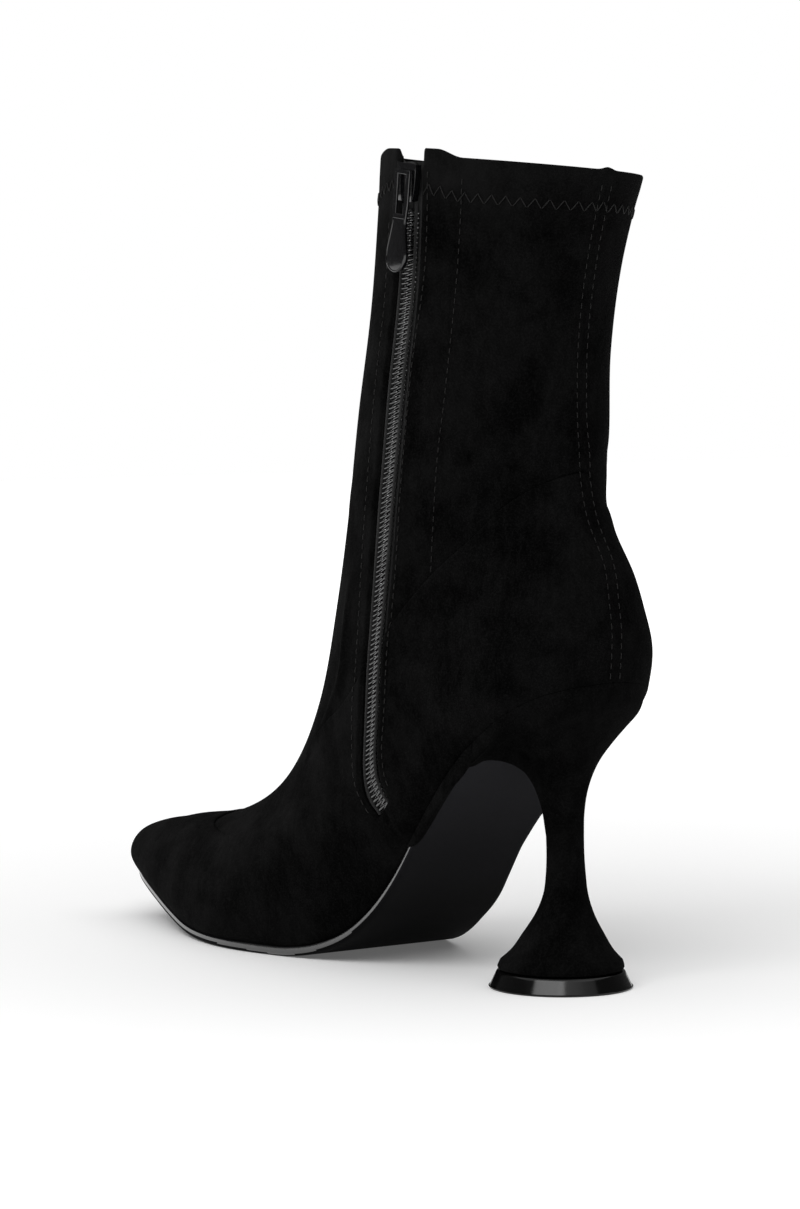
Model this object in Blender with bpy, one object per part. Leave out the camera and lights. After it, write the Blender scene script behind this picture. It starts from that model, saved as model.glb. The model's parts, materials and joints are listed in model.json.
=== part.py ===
"""Ankle boot with a side zip and a flared spool heel, right foot, size EU 38.

Metres, +Z up. The boot stands on z = 0, the toe points to -Y and the inner side with the zip is at +X.
Forms are worked out in millimetres as (m, f, z): m towards the inner side, f forward from the back
of the heel and z up. The upper is a loft of slanted rings that run from the sole's edge to the collar.
"""
from collections import namedtuple

import bmesh
import bpy
import numpy as np
from mathutils import Matrix, Vector

# Driving dimensions, in millimetres
BOOT_LENGTH = 234.5
BOX_CENTRE = (-0.63, 117.23)
GAP = 0.3
WALL = 1.8
PANEL_STEP = 0.7
HEM_RISE = 0.5
SOLE_THICKNESS = 2.7
SOLE_EDGE = 0.4
INSOLE_THICKNESS = 2.0
LIFT_HEIGHT = 5.0
HEEL_BREAST = 32.0
LIFT_CENTRE = 24.0
SLOT_WIDTH = 9.8
MM = 0.001
SMALL_STEP = 0.002

# Rise of the collar for each millimetre towards the inner side, and how steeply that grows up the shaft
COLLAR_LEAN = 0.065
LEAN_GROWTH = 8

# Height of the upper's lower edge above the floor, along the foot
EdgePoint = namedtuple("EdgePoint", "f z")
LOWER_EDGE = [
    EdgePoint(0, 90.3), EdgePoint(10, 86.2), EdgePoint(25, 76.3), EdgePoint(40, 62.8),
    EdgePoint(57, 45.8), EdgePoint(72, 29.8), EdgePoint(86, 17.4), EdgePoint(96, 10.5),
    EdgePoint(108, 5.4), EdgePoint(120, 3.2), EdgePoint(130, 3.0), EdgePoint(155, 3.0),
    EdgePoint(175, 4.2), EdgePoint(190, 7.0), EdgePoint(205, 10.3), EdgePoint(220, 13.5),
    EdgePoint(231, 16.0),
]

# Sideways curve of the last, towards the inner side
Swing = namedtuple("Swing", "f m")
LAST_SWING = [Swing(0, 0), Swing(60, 0), Swing(130, -3), Swing(175, -2), Swing(210, 1), Swing(240, 3.5)]

# How far the upper's lower edge is drawn in under the outer waist, along the foot, and the share of the
# height at which that ends
Tuck = namedtuple("Tuck", "f mm")
WAIST_TUCK = [
    Tuck(18, 0.0), Tuck(25, 1.6), Tuck(32, 3.9), Tuck(38, 5.4), Tuck(46, 7.6), Tuck(54, 8.8),
    Tuck(60, 7.9), Tuck(65, 6.6), Tuck(70, 4.7), Tuck(75, 2.7), Tuck(80, 0.8), Tuck(85, -0.2), Tuck(92, 0.0),
]
TUCK_SHARE = 0.16

# Girth rings of the upper: share of the way from sole to collar, where each meets the back and the
# front line, how far it dips with the arch, and its fullness at four stations from back to front
Ring = namedtuple("Ring", "share back_f back_z front_f front_z dip back waist ball front")
RINGS = [
    Ring(0.00, 1.0, 90.3, 231.0, 16.0, 1.00, 56.0, 24.5, 36.5, 19.0),
    Ring(0.06, 0.6, 94.0, BOOT_LENGTH, 20.3, 0.93, 57.5, 28.0, 38.5, 22.0),
    Ring(0.14, 0.2, 99.0, 228.5, 27.5, 0.80, 58.0, 31.0, 38.0, 25.0),
    Ring(0.24, 0.0, 105.0, 208.0, 33.5, 0.62, 54.0, 34.0, 36.0, 25.0),
    Ring(0.34, 1.2, 113.0, 177.5, 38.5, 0.42, 46.0, 36.5, 33.0, 26.0),
    Ring(0.44, 3.6, 124.0, 149.5, 49.5, 0.22, 36.0, 37.0, 34.5, 30.0),
    Ring(0.53, 11.0, 137.0, 129.5, 70.0, 0.10, 29.5, 36.0, 36.0, 32.0),
    Ring(0.62, 14.3, 151.0, 116.4, 97.0, 0.00, 26.5, 34.5, 37.0, 34.0),
    Ring(0.71, 14.8, 166.0, 108.4, 125.0, 0.00, 29.0, 34.5, 37.0, 35.0),
    Ring(0.81, 14.3, 188.0, 103.0, 159.5, 0.00, 29.0, 33.0, 35.5, 34.5),
    Ring(0.91, 10.1, 212.0, 96.8, 196.5, 0.00, 30.0, 32.5, 34.0, 33.5),
    Ring(1.00, 3.0, 235.2, 91.6, 240.4, 0.00, 33.0, 34.5, 35.0, 34.0),
]
STATIONS = np.array([0.0, 0.35, 0.65, 1.0])

# Zip line on the inner side: degrees round from the back at each share of the height
ZipPoint = namedtuple("ZipPoint", "share degrees")
ZIP_LINE = [
    ZipPoint(0.00, 62.4), ZipPoint(0.15, 66.7), ZipPoint(0.25, 72.2), ZipPoint(0.37, 79.4),
    ZipPoint(0.46, 83.9), ZipPoint(0.55, 85.8), ZipPoint(0.65, 87.5), ZipPoint(0.78, 88.8),
    ZipPoint(0.90, 90.8), ZipPoint(1.00, 93.6),
]

# Top edge of counter and vamp, where they lap over the shaft: share of the height at each number of
# degrees from the back, on the inner and the outer side
PanelPoint = namedtuple("PanelPoint", "degrees inner outer")
PANEL_EDGE = [
    PanelPoint(0, 0.613, 0.613), PanelPoint(9, 0.611, 0.590), PanelPoint(18, 0.609, 0.568),
    PanelPoint(32, 0.603, 0.548), PanelPoint(42, 0.592, 0.540), PanelPoint(50, 0.574, 0.533),
    PanelPoint(66, 0.552, 0.520), PanelPoint(80, 0.525, 0.505), PanelPoint(91, 0.494, 0.490),
    PanelPoint(102, 0.473, 0.474), PanelPoint(109, 0.468, 0.468), PanelPoint(114, 0.445, 0.445),
    PanelPoint(117, 0.380, 0.380), PanelPoint(120, 0.305, 0.305), PanelPoint(124, 0.264, 0.264),
    PanelPoint(132, 0.256, 0.256), PanelPoint(142, 0.272, 0.272), PanelPoint(154, 0.305, 0.305),
    PanelPoint(168, 0.325, 0.325), PanelPoint(180, 0.330, 0.330),
]
HEM_SHARE = 0.967

# Mesh rows: shares of the panel's height and of the shaft's height, and columns round the boot
PANEL_ROWS = [0.0, 0.05, 0.11, 0.19, 0.285, 0.38, 0.48, 0.58, 0.68, 0.78, 0.88, 0.95, 1.0]
SLOT_END_ROW = 4
SHAFT_ROWS = [0.0, 0.05, 0.13, 0.26, 0.40, 0.54, 0.68, 0.84, 1.0]
BACK_COLUMNS = 10
OUTER_COLUMNS = 36
FRONT_COLUMNS = 19
SOLE_ROWS = 34
INSOLE_ROWS = 36
SOLE_COLUMNS = 5
ZIP_ROWS = 32

# Heel below its waist: radius and place along the foot at each height. Above it: reach from stem to
# seat, back and front
SpoolRow = namedtuple("SpoolRow", "z radius centre")
SPOOL = [
    SpoolRow(5.3, 18.3, 24.0), SpoolRow(7.6, 18.1, 23.8), SpoolRow(10.1, 15.6, 23.4),
    SpoolRow(15.8, 11.8, 22.9), SpoolRow(21.6, 8.5, 22.3), SpoolRow(27.4, 6.5, 21.9),
    SpoolRow(33.1, 5.8, 21.9), SpoolRow(38.9, 5.5, 22.1), SpoolRow(44.0, 5.5, 22.3),
]
FlareRow = namedtuple("FlareRow", "height back front")
FLARE = [
    FlareRow(0.14, 0.005, 0.025), FlareRow(0.28, 0.05, 0.052), FlareRow(0.40, 0.136, 0.09),
    FlareRow(0.52, 0.273, 0.15), FlareRow(0.64, 0.48, 0.215), FlareRow(0.74, 0.68, 0.31),
    FlareRow(0.84, 0.88, 0.55), FlareRow(1.00, 1.00, 1.00),
]
HEEL_COLUMNS = 48
FLAT_FRONT = 0.8
FRONT_FLARE = (0.35, 0.75)
BREAST_CORNER = 0.75
LIFT_RADII = (21.0, 18.6)

# Angle left open at the sole's toe tip, and at both ends of the insole
TOE_TIP = 0.07
INSOLE_TIP = 0.16

# Zip pieces: the coil chain, the tapes behind the wall, the slider and its hanging pull
CHAIN_HALF_WIDTH = 3.8
ChainRow = namedtuple("ChainRow", "across front")
CHAIN_PROFILE = [ChainRow(-1, -0.8), ChainRow(-0.7, -0.2), ChainRow(0, -0.3), ChainRow(0.7, -0.2),
                 ChainRow(1, -0.8)]
CHAIN_ENDS = (0.157, 0.966)
CHAIN_BACK = -1.7
TAPE_WIDTH = 10.5
TAPE_THICKNESS = 0.7
TAPE_COLUMNS = 4
TAPE_ENDS = (0.13, 0.995)
SLIDER_SHARE = 0.981
SLIDER_PLATE = (9.0, 11.0, 1.1)
SLIDER_LIFT = 0.3
SLIDER_NECK = (3.0, 6.0, 2.0)
CROWN = (2.2, 5.2, 3.2)
CROWN_SHIFT = 2.9
CROWN_HOLE = (3.2, 2.0)
PULL_LENGTH = 31.0
PULL_BAR = 1.2
PULL_WINDOW = (3.8, 12.0)
PULL_WIDTHS = (7.0, 6.0, 9.0)
PULL_NECK = (3.0, 2.0)
PULL_TIP_POINTS = 13


def curve_through(rows):
    """Smooth curve through the rows of a two-column table."""
    xs, ys = np.array(rows, float).T
    return hermite(xs, ys[None, :])


def hermite(xs, columns):
    """Smooth curves through the same places xs, one for each row of columns."""
    slopes = np.gradient(columns, xs, axis=-1)

    def at(x):
        x = np.clip(x, xs[0], xs[-1])
        i = np.clip(np.searchsorted(xs, x, side="right") - 1, 0, len(xs) - 2)
        step = xs[i + 1] - xs[i]
        s = (x - xs[i]) / step
        value = (1 + 2 * s) * (1 - s) ** 2 * columns[:, i] + s * s * (3 - 2 * s) * columns[:, i + 1]
        value += step * s * (1 - s) ** 2 * slopes[:, i] - step * s * s * (1 - s) * slopes[:, i + 1]
        return value[0] if len(columns) == 1 else value
    return at


lower_edge = curve_through(LOWER_EDGE)
last_swing = curve_through(LAST_SWING)
waist_tuck = curve_through(WAIST_TUCK)
zip_degrees = curve_through(ZIP_LINE)
panel_table = np.array(PANEL_EDGE, float)
panel_edges = hermite(panel_table[:, 0], panel_table[:, 1:].T)
ring_table = np.array(RINGS, float)
ring_columns = hermite(ring_table[:, 0], ring_table[:, 1:].T)
fullness_weights = hermite(STATIONS, np.eye(len(STATIONS)))


def lower_edge_z(f):
    """Height of the upper's lower edge, flat where the sole stands on the floor."""
    return np.maximum(lower_edge(f), SOLE_THICKNESS + GAP)


def arch_dip(along):
    """How far the sole's edge lies below a straight line from its back to its toe."""
    first = RINGS[0]
    f = first.back_f + (first.front_f - first.back_f) * along
    return lower_edge_z(f) - (first.back_z + (first.front_z - first.back_z) * along)


def upper_point(share, angle):
    """Point of the upper's middle form; angle 0 at the back, pi at the toe, positive on the inner side."""
    share, angle = np.broadcast_arrays(np.asarray(share, float), np.asarray(angle, float))
    back_f, back_z, front_f, front_z, dip, *fullness = ring_columns(share)
    along = (1 - np.cos(angle)) / 2
    f = back_f + (front_f - back_f) * along
    z = back_z + (front_z - back_z) * along + dip * arch_dip(along)
    weights = fullness_weights(along)
    width = sum(w * g for w, g in zip(weights, fullness))
    tucked = waist_tuck(f) * np.clip(1 - share / TUCK_SHARE, 0, 1) ** 2
    m = np.sin(angle) * width + last_swing(f) + np.where(np.sin(angle) < 0, tucked, 0.0)
    return np.stack([m, f, z + COLLAR_LEAN * m * share ** LEAN_GROWTH], -1)


def way_round(share, angle):
    """Short step of the middle form from just behind an angle to just before it."""
    return upper_point(share, angle + SMALL_STEP) - upper_point(share, angle - SMALL_STEP)


def upper_normal(share, angle):
    """Outward unit normal of the middle form."""
    share = np.clip(share, SMALL_STEP, 1 - SMALL_STEP)
    upward = upper_point(share + SMALL_STEP, angle) - upper_point(share - SMALL_STEP, angle)
    normal = np.cross(upward, way_round(share, angle))
    return -normal / np.linalg.norm(normal, axis=-1, keepdims=True)


def zip_angle(share, across):
    """Angle of a place that lies across millimetres in front of the zip line."""
    centre = np.radians(zip_degrees(share))
    return centre + across * 2 * SMALL_STEP / np.linalg.norm(way_round(share, centre), axis=-1)


def world(points):
    """Millimetres as (m, f, z) to the scene's metres."""
    points = np.asarray(points, float)
    m, f, z = points[..., 0], points[..., 1], points[..., 2]
    return np.stack([m - BOX_CENTRE[0], BOX_CENTRE[1] - f, z], -1) * MM


def clear_scene():
    for item in list(bpy.data.objects):
        bpy.data.objects.remove(item, do_unlink=True)


def new_collection(name):
    collection = bpy.data.collections.new(name)
    bpy.context.scene.collection.children.link(collection)
    return collection


def plain_material(name, colour, roughness, metallic=0.0):
    material = bpy.data.materials.new(name)
    material.use_nodes = True
    shader = material.node_tree.nodes["Principled BSDF"]
    shader.inputs["Base Color"].default_value = (*colour, 1.0)
    shader.inputs["Roughness"].default_value = roughness
    shader.inputs["Metallic"].default_value = metallic
    return material


def solid(name, points, faces, material, collection, smooth_degrees=40):
    """A closed object from world points and faces, facing out."""
    mesh = bpy.data.meshes.new(name)
    mesh.from_pydata([tuple(p) for p in points], [], faces)
    shell = bmesh.new()
    shell.from_mesh(mesh)
    bmesh.ops.recalc_face_normals(shell, faces=shell.faces)
    shell.to_mesh(mesh)
    shell.free()
    return finish(name, mesh, material, collection, smooth_degrees)


def finish(name, mesh, material, collection, smooth_degrees=40):
    mesh.materials.clear()
    mesh.materials.append(material)
    mesh.shade_smooth()
    mesh.set_sharp_from_angle(angle=np.radians(smooth_degrees))
    item = bpy.data.objects.new(name, mesh)
    collection.objects.link(item)
    return item


def grid_faces(rows, columns, start=0):
    """Quads of a grid of points that are numbered row by row."""
    faces = []
    for r in range(rows - 1):
        for c in range(columns - 1):
            a = start + r * columns + c
            faces.append((a, a + 1, a + columns + 1, a + columns))
    return faces


def slab(name, outside, inside, material, collection):
    """A closed solid between two grids of points of the same shape."""
    rows, columns = outside.shape[:2]
    count = rows * columns
    faces = grid_faces(rows, columns) + grid_faces(rows, columns, count)
    border = [r * columns for r in range(rows)]
    border += [(rows - 1) * columns + c for c in range(1, columns)]
    border += [r * columns + columns - 1 for r in range(rows - 2, -1, -1)]
    border += list(range(columns - 2, 0, -1))
    for a, b in zip(border, border[1:] + border[:1]):
        faces.append((a, b, b + count, a + count))
    points = np.concatenate([outside.reshape(-1, 3), inside.reshape(-1, 3)])
    return solid(name, world(points), faces, material, collection)


def column_angles(share):
    """Angles of the upper's columns, from the zip's rear edge round the back to its front edge."""
    rear = zip_angle(share[:, :BACK_COLUMNS], -SLOT_WIDTH / 2)
    back = rear * (1 - np.arange(BACK_COLUMNS) / BACK_COLUMNS)
    outer = np.broadcast_to(-np.pi * np.arange(OUTER_COLUMNS) / OUTER_COLUMNS,
                            (len(share), OUTER_COLUMNS))
    front_edge = zip_angle(share[:, BACK_COLUMNS + OUTER_COLUMNS:], SLOT_WIDTH / 2)
    front = -np.pi - (np.pi - front_edge) * np.arange(FRONT_COLUMNS + 1) / FRONT_COLUMNS
    return np.concatenate([back, outer, front], axis=1)


def upper_rows():
    """Shares and angles of the upper's grid, with rows along panel edge and hem, and each row's rise."""
    columns = BACK_COLUMNS + OUTER_COLUMNS + FRONT_COLUMNS + 1
    middle = column_angles(np.full((1, columns), 0.5))[0]
    turned = np.degrees(middle)
    inner, outer = panel_edges(np.minimum(np.abs(turned), 360 - np.abs(turned)))
    edge = np.where((turned < -180) | (turned > 0), inner, outer)[None, :]
    panel = np.array(PANEL_ROWS)[:, None] * edge
    shaft = edge + np.array(SHAFT_ROWS)[:, None] * (HEM_SHARE - edge)
    hem = np.broadcast_to([[HEM_SHARE], [1.0]], (2, columns))
    share = np.concatenate([panel, shaft, hem])
    rise = np.concatenate([np.full(len(panel), PANEL_STEP / 2), np.full(len(shaft), -PANEL_STEP / 2),
                           np.full(len(hem), HEM_RISE - PANEL_STEP / 2)])
    return share, column_angles(share), rise


def make_upper(material, collection):
    """Hollow upper, open at collar and underneath, with the zip's slot and laps stepped in its wall."""
    share, angle, rise = upper_rows()
    middle = upper_point(share, angle)
    normal = upper_normal(share, angle)
    outside = middle + normal * rise[:, None, None]
    inside = middle - normal * WALL
    for skin in (outside, inside):
        skin[0, :, 2] = lower_edge_z(skin[0, :, 1])
    rows, columns = share.shape
    count = rows * columns
    faces = grid_faces(rows, columns) + grid_faces(rows, columns, count)
    for r in (0, rows - 1):
        for c in range(columns - 1):
            a = r * columns + c
            faces.append((a, a + 1, a + 1 + count, a + count))
    for r in range(rows - 1):
        rear = r * columns
        front = rear + columns - 1
        if r < SLOT_END_ROW:
            faces.append((front, rear, rear + columns, front + columns))
            faces.append((front + count, rear + count, rear + columns + count, front + columns + count))
        else:
            faces.append((rear, rear + columns, rear + columns + count, rear + count))
            faces.append((front, front + columns, front + columns + count, front + count))
    for r in (0, SLOT_END_ROW):
        rear = r * columns
        front = rear + columns - 1
        faces.append((front, rear, rear + count, front + count))
    points = np.concatenate([outside.reshape(-1, 3), inside.reshape(-1, 3)])
    return solid("upper", world(points), faces, material, collection)


def sole_rim(angles, outset):
    """Pairs of points on the upper's lower edge, moved outwards in plan, inner and outer side."""
    sides = []
    for side in (1, -1):
        rim = upper_point(0.0, side * angles)
        along = way_round(0.0, side * angles)
        out = np.stack([along[:, 1], -along[:, 0]], -1)
        out /= np.linalg.norm(out, axis=1, keepdims=True)
        rim[:, :2] += out * outset
        sides.append(rim)
    return sides


def angle_at(f):
    """Angle at which the upper's lower edge passes a place along the foot."""
    first = RINGS[0]
    return np.arccos(1 - 2 * (f - first.back_f) / (first.front_f - first.back_f))


def sheet_under_foot(name, angles, outset, top_gap, thickness, material, collection):
    """A sheet that follows the sole's edge, from the first angle to the last."""
    inner, outer = sole_rim(angles, outset)
    across = np.linspace(0, 1, SOLE_COLUMNS)[None, :, None]
    top = inner[:, None, :] * (1 - across) + outer[:, None, :] * across
    top[..., 2] = lower_edge_z(top[..., 1]) - top_gap
    bottom = top.copy()
    bottom[..., 2] -= thickness
    return slab(name, top, bottom, material, collection)


def make_outsole(material, collection):
    """Thin outsole from the heel's breast to the toe, flat under the ball, with toe spring."""
    angles = np.linspace(angle_at(HEEL_BREAST + GAP), np.pi - TOE_TIP, SOLE_ROWS)
    return sheet_under_foot("outsole", angles, SOLE_EDGE, GAP, SOLE_THICKNESS, material, collection)


def make_insole(material, collection):
    """Padded insole that lies on outsole and heel seat inside the wall."""
    angles = np.linspace(INSOLE_TIP, np.pi - INSOLE_TIP, INSOLE_ROWS)
    inset = -(WALL + 2 * GAP)
    return sheet_under_foot("insole", angles, inset, -INSOLE_THICKNESS, INSOLE_THICKNESS,
                            material, collection)


def spool_ring(radius, centre, z, turns):
    """Round section of the heel with a flat front."""
    forward = np.minimum(-np.cos(turns), FLAT_FRONT) * radius
    return np.stack([np.sin(turns) * radius, centre + forward, np.full(len(turns), z)], -1)


def seat_ring(turns):
    """Top edge of the heel: the sole's edge round the back and a straight breast line in front."""
    corner_turn = BREAST_CORNER * np.pi
    corner = angle_at(HEEL_BREAST)
    signed = np.where(turns > np.pi, turns - 2 * np.pi, turns)
    size = np.abs(signed)
    side = np.sign(signed)
    rim = upper_point(0.0, side * corner * np.minimum(size / corner_turn, 1))
    inward = np.clip((size - corner_turn) / (np.pi - corner_turn), 0, 1)
    rim[:, 0] *= 1 - inward
    rim[:, 2] = lower_edge_z(rim[:, 1]) - GAP
    return rim


def make_heel(material, collection):
    """Covered heel: flared foot, thin waist, and a flare that follows the seat and its breast."""
    turns = np.linspace(0, 2 * np.pi, HEEL_COLUMNS, endpoint=False)
    rings = [spool_ring(row.radius, row.centre, row.z, turns) for row in SPOOL]
    stem = rings[-1]
    seat = seat_ring(turns)
    forward = 1 - np.abs(np.pi - turns) / np.pi
    frontness = np.clip((forward - FRONT_FLARE[0]) / (FRONT_FLARE[1] - FRONT_FLARE[0]), 0, 1)
    frontness = frontness * frontness * (3 - 2 * frontness)
    for row in FLARE:
        reach = row.back + (row.front - row.back) * frontness
        ring = stem + (seat - stem) * reach[:, None]
        ring[:, 2] = stem[:, 2] + (seat[:, 2] - stem[:, 2]) * row.height
        rings.append(ring)
    points = np.concatenate(rings)
    faces = []
    for r in range(len(rings) - 1):
        for c in range(HEEL_COLUMNS):
            a = r * HEEL_COLUMNS + c
            b = r * HEEL_COLUMNS + (c + 1) % HEEL_COLUMNS
            faces.append((a, b, b + HEEL_COLUMNS, a + HEEL_COLUMNS))
    faces.append(tuple(range(HEEL_COLUMNS - 1, -1, -1)))
    top = (len(rings) - 1) * HEEL_COLUMNS
    half = HEEL_COLUMNS // 2
    faces.append((top, top + 1, top + HEEL_COLUMNS - 1))
    for c in range(1, half - 1):
        faces.append((top + c, top + c + 1, top + HEEL_COLUMNS - c - 1, top + HEEL_COLUMNS - c))
    faces.append((top + half - 1, top + half, top + half + 1))
    return solid("heel", world(points), faces, material, collection)


def make_lift(material, collection):
    """Top piece under the heel, which flares out to the floor."""
    turns = np.linspace(0, 2 * np.pi, HEEL_COLUMNS, endpoint=False)
    rings = [spool_ring(LIFT_RADII[0], LIFT_CENTRE, 0.0, turns),
             spool_ring(LIFT_RADII[1], LIFT_CENTRE, LIFT_HEIGHT, turns)]
    faces = [tuple(range(HEEL_COLUMNS - 1, -1, -1)), tuple(range(HEEL_COLUMNS, 2 * HEEL_COLUMNS))]
    for c in range(HEEL_COLUMNS):
        d = (c + 1) % HEEL_COLUMNS
        faces.append((c, d, d + HEEL_COLUMNS, c + HEEL_COLUMNS))
    return solid("heel_lift", world(np.concatenate(rings)), faces, material, collection)


def zip_strip(name, ends, across, front_rise, back_rise, material, collection):
    """A strip along the zip line: places across it, and the rise of its front and back there."""
    share = np.linspace(*ends, ZIP_ROWS)[:, None] * np.ones(len(across))
    angle = zip_angle(share, np.array(across))
    middle = upper_point(share, angle)
    normal = upper_normal(share, angle)
    front = middle + normal * np.array(front_rise)[:, None]
    back = middle + normal * np.array(back_rise)[:, None]
    return slab(name, front, back, material, collection)


def make_chain(material, collection):
    """Closed coil chain, a rounded ridge in the slot."""
    across = [row.across * CHAIN_HALF_WIDTH for row in CHAIN_PROFILE]
    front = [row.front for row in CHAIN_PROFILE]
    back = [CHAIN_BACK] * len(CHAIN_PROFILE)
    zip_strip("zip_coil", CHAIN_ENDS, across, front, back, material, collection)


def make_tapes(material, collection):
    """Two woven tapes behind the wall, either side of the chain."""
    front = -(WALL + 2 * GAP)
    back = front - TAPE_THICKNESS
    for name, side in (("zip_tape_front", 1), ("zip_tape_rear", -1)):
        across = [side * w for w in np.linspace(GAP / 2, TAPE_WIDTH, TAPE_COLUMNS)]
        fronts = [front] * TAPE_COLUMNS
        backs = [back] * TAPE_COLUMNS
        zip_strip(name, TAPE_ENDS, across, fronts, backs, material, collection)


def slider_frame():
    """Place of the slider on the zip: X across it, Y up along it and Z outwards."""
    share = SLIDER_SHARE + np.array([-1, 0, 1]) * SMALL_STEP
    line = world(upper_point(share, zip_angle(share, 0.0)))
    tip = share[1:2]
    angle = zip_angle(tip, 0.0)
    outward = world(upper_point(tip, angle) + upper_normal(tip, angle))[0] - line[1]
    out = Vector(outward).normalized()
    up = Vector(line[2] - line[0])
    up = (up - out * up.dot(out)).normalized()
    across = up.cross(out)
    frame = Matrix((across, up, out)).transposed().to_4x4()
    frame.translation = Vector(line[1])
    return frame


def hanging_frame():
    """Place of the free-hanging pull: X along its bar, Y up and Z outwards."""
    slider = slider_frame()
    bar_height = SLIDER_LIFT + SLIDER_PLATE[2] + CROWN_HOLE[1] / 2
    bar = Vector(slider.col[0][:3])
    up = Vector((0, 0, 1))
    up = (up - bar * up.dot(bar)).normalized()
    frame = Matrix((bar, up, bar.cross(up))).transposed().to_4x4()
    frame.translation = slider @ Vector((0, CROWN_SHIFT * MM, bar_height * MM))
    return frame


def box(name, size, centre, collection):
    """A box of millimetre sizes about a centre, in the slider's own frame."""
    bpy.ops.mesh.primitive_cube_add(size=1.0)
    item = bpy.context.object
    item.name = name
    place = Matrix.Translation(Vector(centre) * MM) @ Matrix.Diagonal((*(Vector(size) * MM), 1.0))
    item.data.transform(place)
    for owner in list(item.users_collection):
        owner.objects.unlink(item)
    collection.objects.link(item)
    return item


def hide_cutter(item):
    item.hide_render = True
    item.display_type = "WIRE"


def join_or_cut(item, other, operation):
    modifier = item.modifiers.new(operation.title(), "BOOLEAN")
    modifier.operation = operation
    modifier.solver = "EXACT"
    modifier.object = other
    hide_cutter(other)


def make_slider(material, collection, cutters):
    """Slider: plate over the chain, neck in the slot, and a crown that holds the pull's bar."""
    frame = slider_frame()
    plate_top = SLIDER_LIFT + SLIDER_PLATE[2]
    plate = box("zip_slider", SLIDER_PLATE, (0, 0, SLIDER_LIFT + SLIDER_PLATE[2] / 2), collection)
    neck = box("slider_neck", SLIDER_NECK, (0, CROWN_SHIFT, SLIDER_LIFT + GAP - SLIDER_NECK[2] / 2), cutters)
    crown = box("slider_crown", CROWN, (0, CROWN_SHIFT, plate_top - GAP + CROWN[2] / 2), cutters)
    hole_size = (CROWN[0] * 2, *CROWN_HOLE)
    hole = box("slider_crown_hole", hole_size, (0, CROWN_SHIFT, plate_top + CROWN_HOLE[1] / 2), cutters)
    join_or_cut(crown, hole, "DIFFERENCE")
    join_or_cut(plate, neck, "UNION")
    join_or_cut(plate, crown, "UNION")
    for item in (plate, neck, crown, hole):
        item.matrix_world = frame
    plate.data.materials.append(material)
    return plate


def pull_outline():
    """Outline of the pull in its own plane, with its bar at the origin and its tip down."""
    half_top, half_neck, half_tip = [w / 2 for w in PULL_WIDTHS]
    window_end = PULL_WINDOW[1]
    round_centre = -PULL_LENGTH + half_tip
    turns = np.linspace(0, -np.pi, PULL_TIP_POINTS)
    arc = [(half_tip * np.cos(a), round_centre + half_tip * np.sin(a)) for a in turns]
    neck_y = -window_end - PULL_NECK[1]
    top_y = PULL_BAR / 2
    right = [(half_top, top_y), (half_top, -window_end + PULL_NECK[0]), (half_neck, neck_y)]
    left = [(-x, y) for x, y in reversed(right)]
    return right + arc + left


def make_pull(material, collection):
    """Hanging pull: a tapered tab with a window round the crown, turning about its top bar."""
    half_window = PULL_WINDOW[0] / 2
    window = [(half_window, -PULL_BAR / 2), (half_window, -PULL_WINDOW[1]),
              (-half_window, -PULL_WINDOW[1]), (-half_window, -PULL_BAR / 2)]
    curve = bpy.data.curves.new("pull_outline", "CURVE")
    curve.dimensions = "2D"
    curve.fill_mode = "BOTH"
    curve.extrude = PULL_BAR / 2 * MM
    for outline in (pull_outline(), window):
        spline = curve.splines.new("POLY")
        spline.points.add(len(outline) - 1)
        for point, (x, y) in zip(spline.points, outline):
            point.co = (x * MM, y * MM, 0.0, 1.0)
        spline.use_cyclic_u = True
    flat = bpy.data.objects.new("pull_outline", curve)
    collection.objects.link(flat)
    mesh = bpy.data.meshes.new_from_object(flat.evaluated_get(bpy.context.evaluated_depsgraph_get()))
    bpy.data.objects.remove(flat, do_unlink=True)
    shell = bmesh.new()
    shell.from_mesh(mesh)
    bmesh.ops.remove_doubles(shell, verts=shell.verts, dist=0.00001)
    bmesh.ops.recalc_face_normals(shell, faces=shell.faces)
    shell.to_mesh(mesh)
    shell.free()
    pull = finish("zip_pull", mesh, material, collection)
    pull.matrix_world = hanging_frame()
    return pull


def main():
    clear_scene()
    boot = new_collection("ankle_boot")
    cutters = new_collection("cutters")
    suede = plain_material("black_suede", (0.012, 0.012, 0.013), 0.92)
    heel_suede = plain_material("black_heel_suede", (0.012, 0.012, 0.013), 0.9)
    rubber = plain_material("outsole_rubber", (0.045, 0.045, 0.047), 0.5)
    gloss = plain_material("gloss_lift", (0.01, 0.01, 0.01), 0.12)
    lining = plain_material("insole_lining", (0.03, 0.028, 0.027), 0.8)
    nylon = plain_material("zip_nylon", (0.02, 0.02, 0.021), 0.35)
    weave = plain_material("zip_weave", (0.012, 0.012, 0.012), 0.85)
    lacquer = plain_material("black_lacquered_metal", (0.012, 0.012, 0.013), 0.15, 0.6)
    make_outsole(rubber, boot)
    make_heel(heel_suede, boot)
    make_lift(gloss, boot)
    make_insole(lining, boot)
    make_upper(suede, boot)
    make_tapes(weave, boot)
    make_chain(nylon, boot)
    make_slider(lacquer, boot, cutters)
    make_pull(lacquer, boot)


main()
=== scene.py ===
import json
import math
from collections import namedtuple

import bpy
import numpy as np
from mathutils import Matrix, Vector

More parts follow.
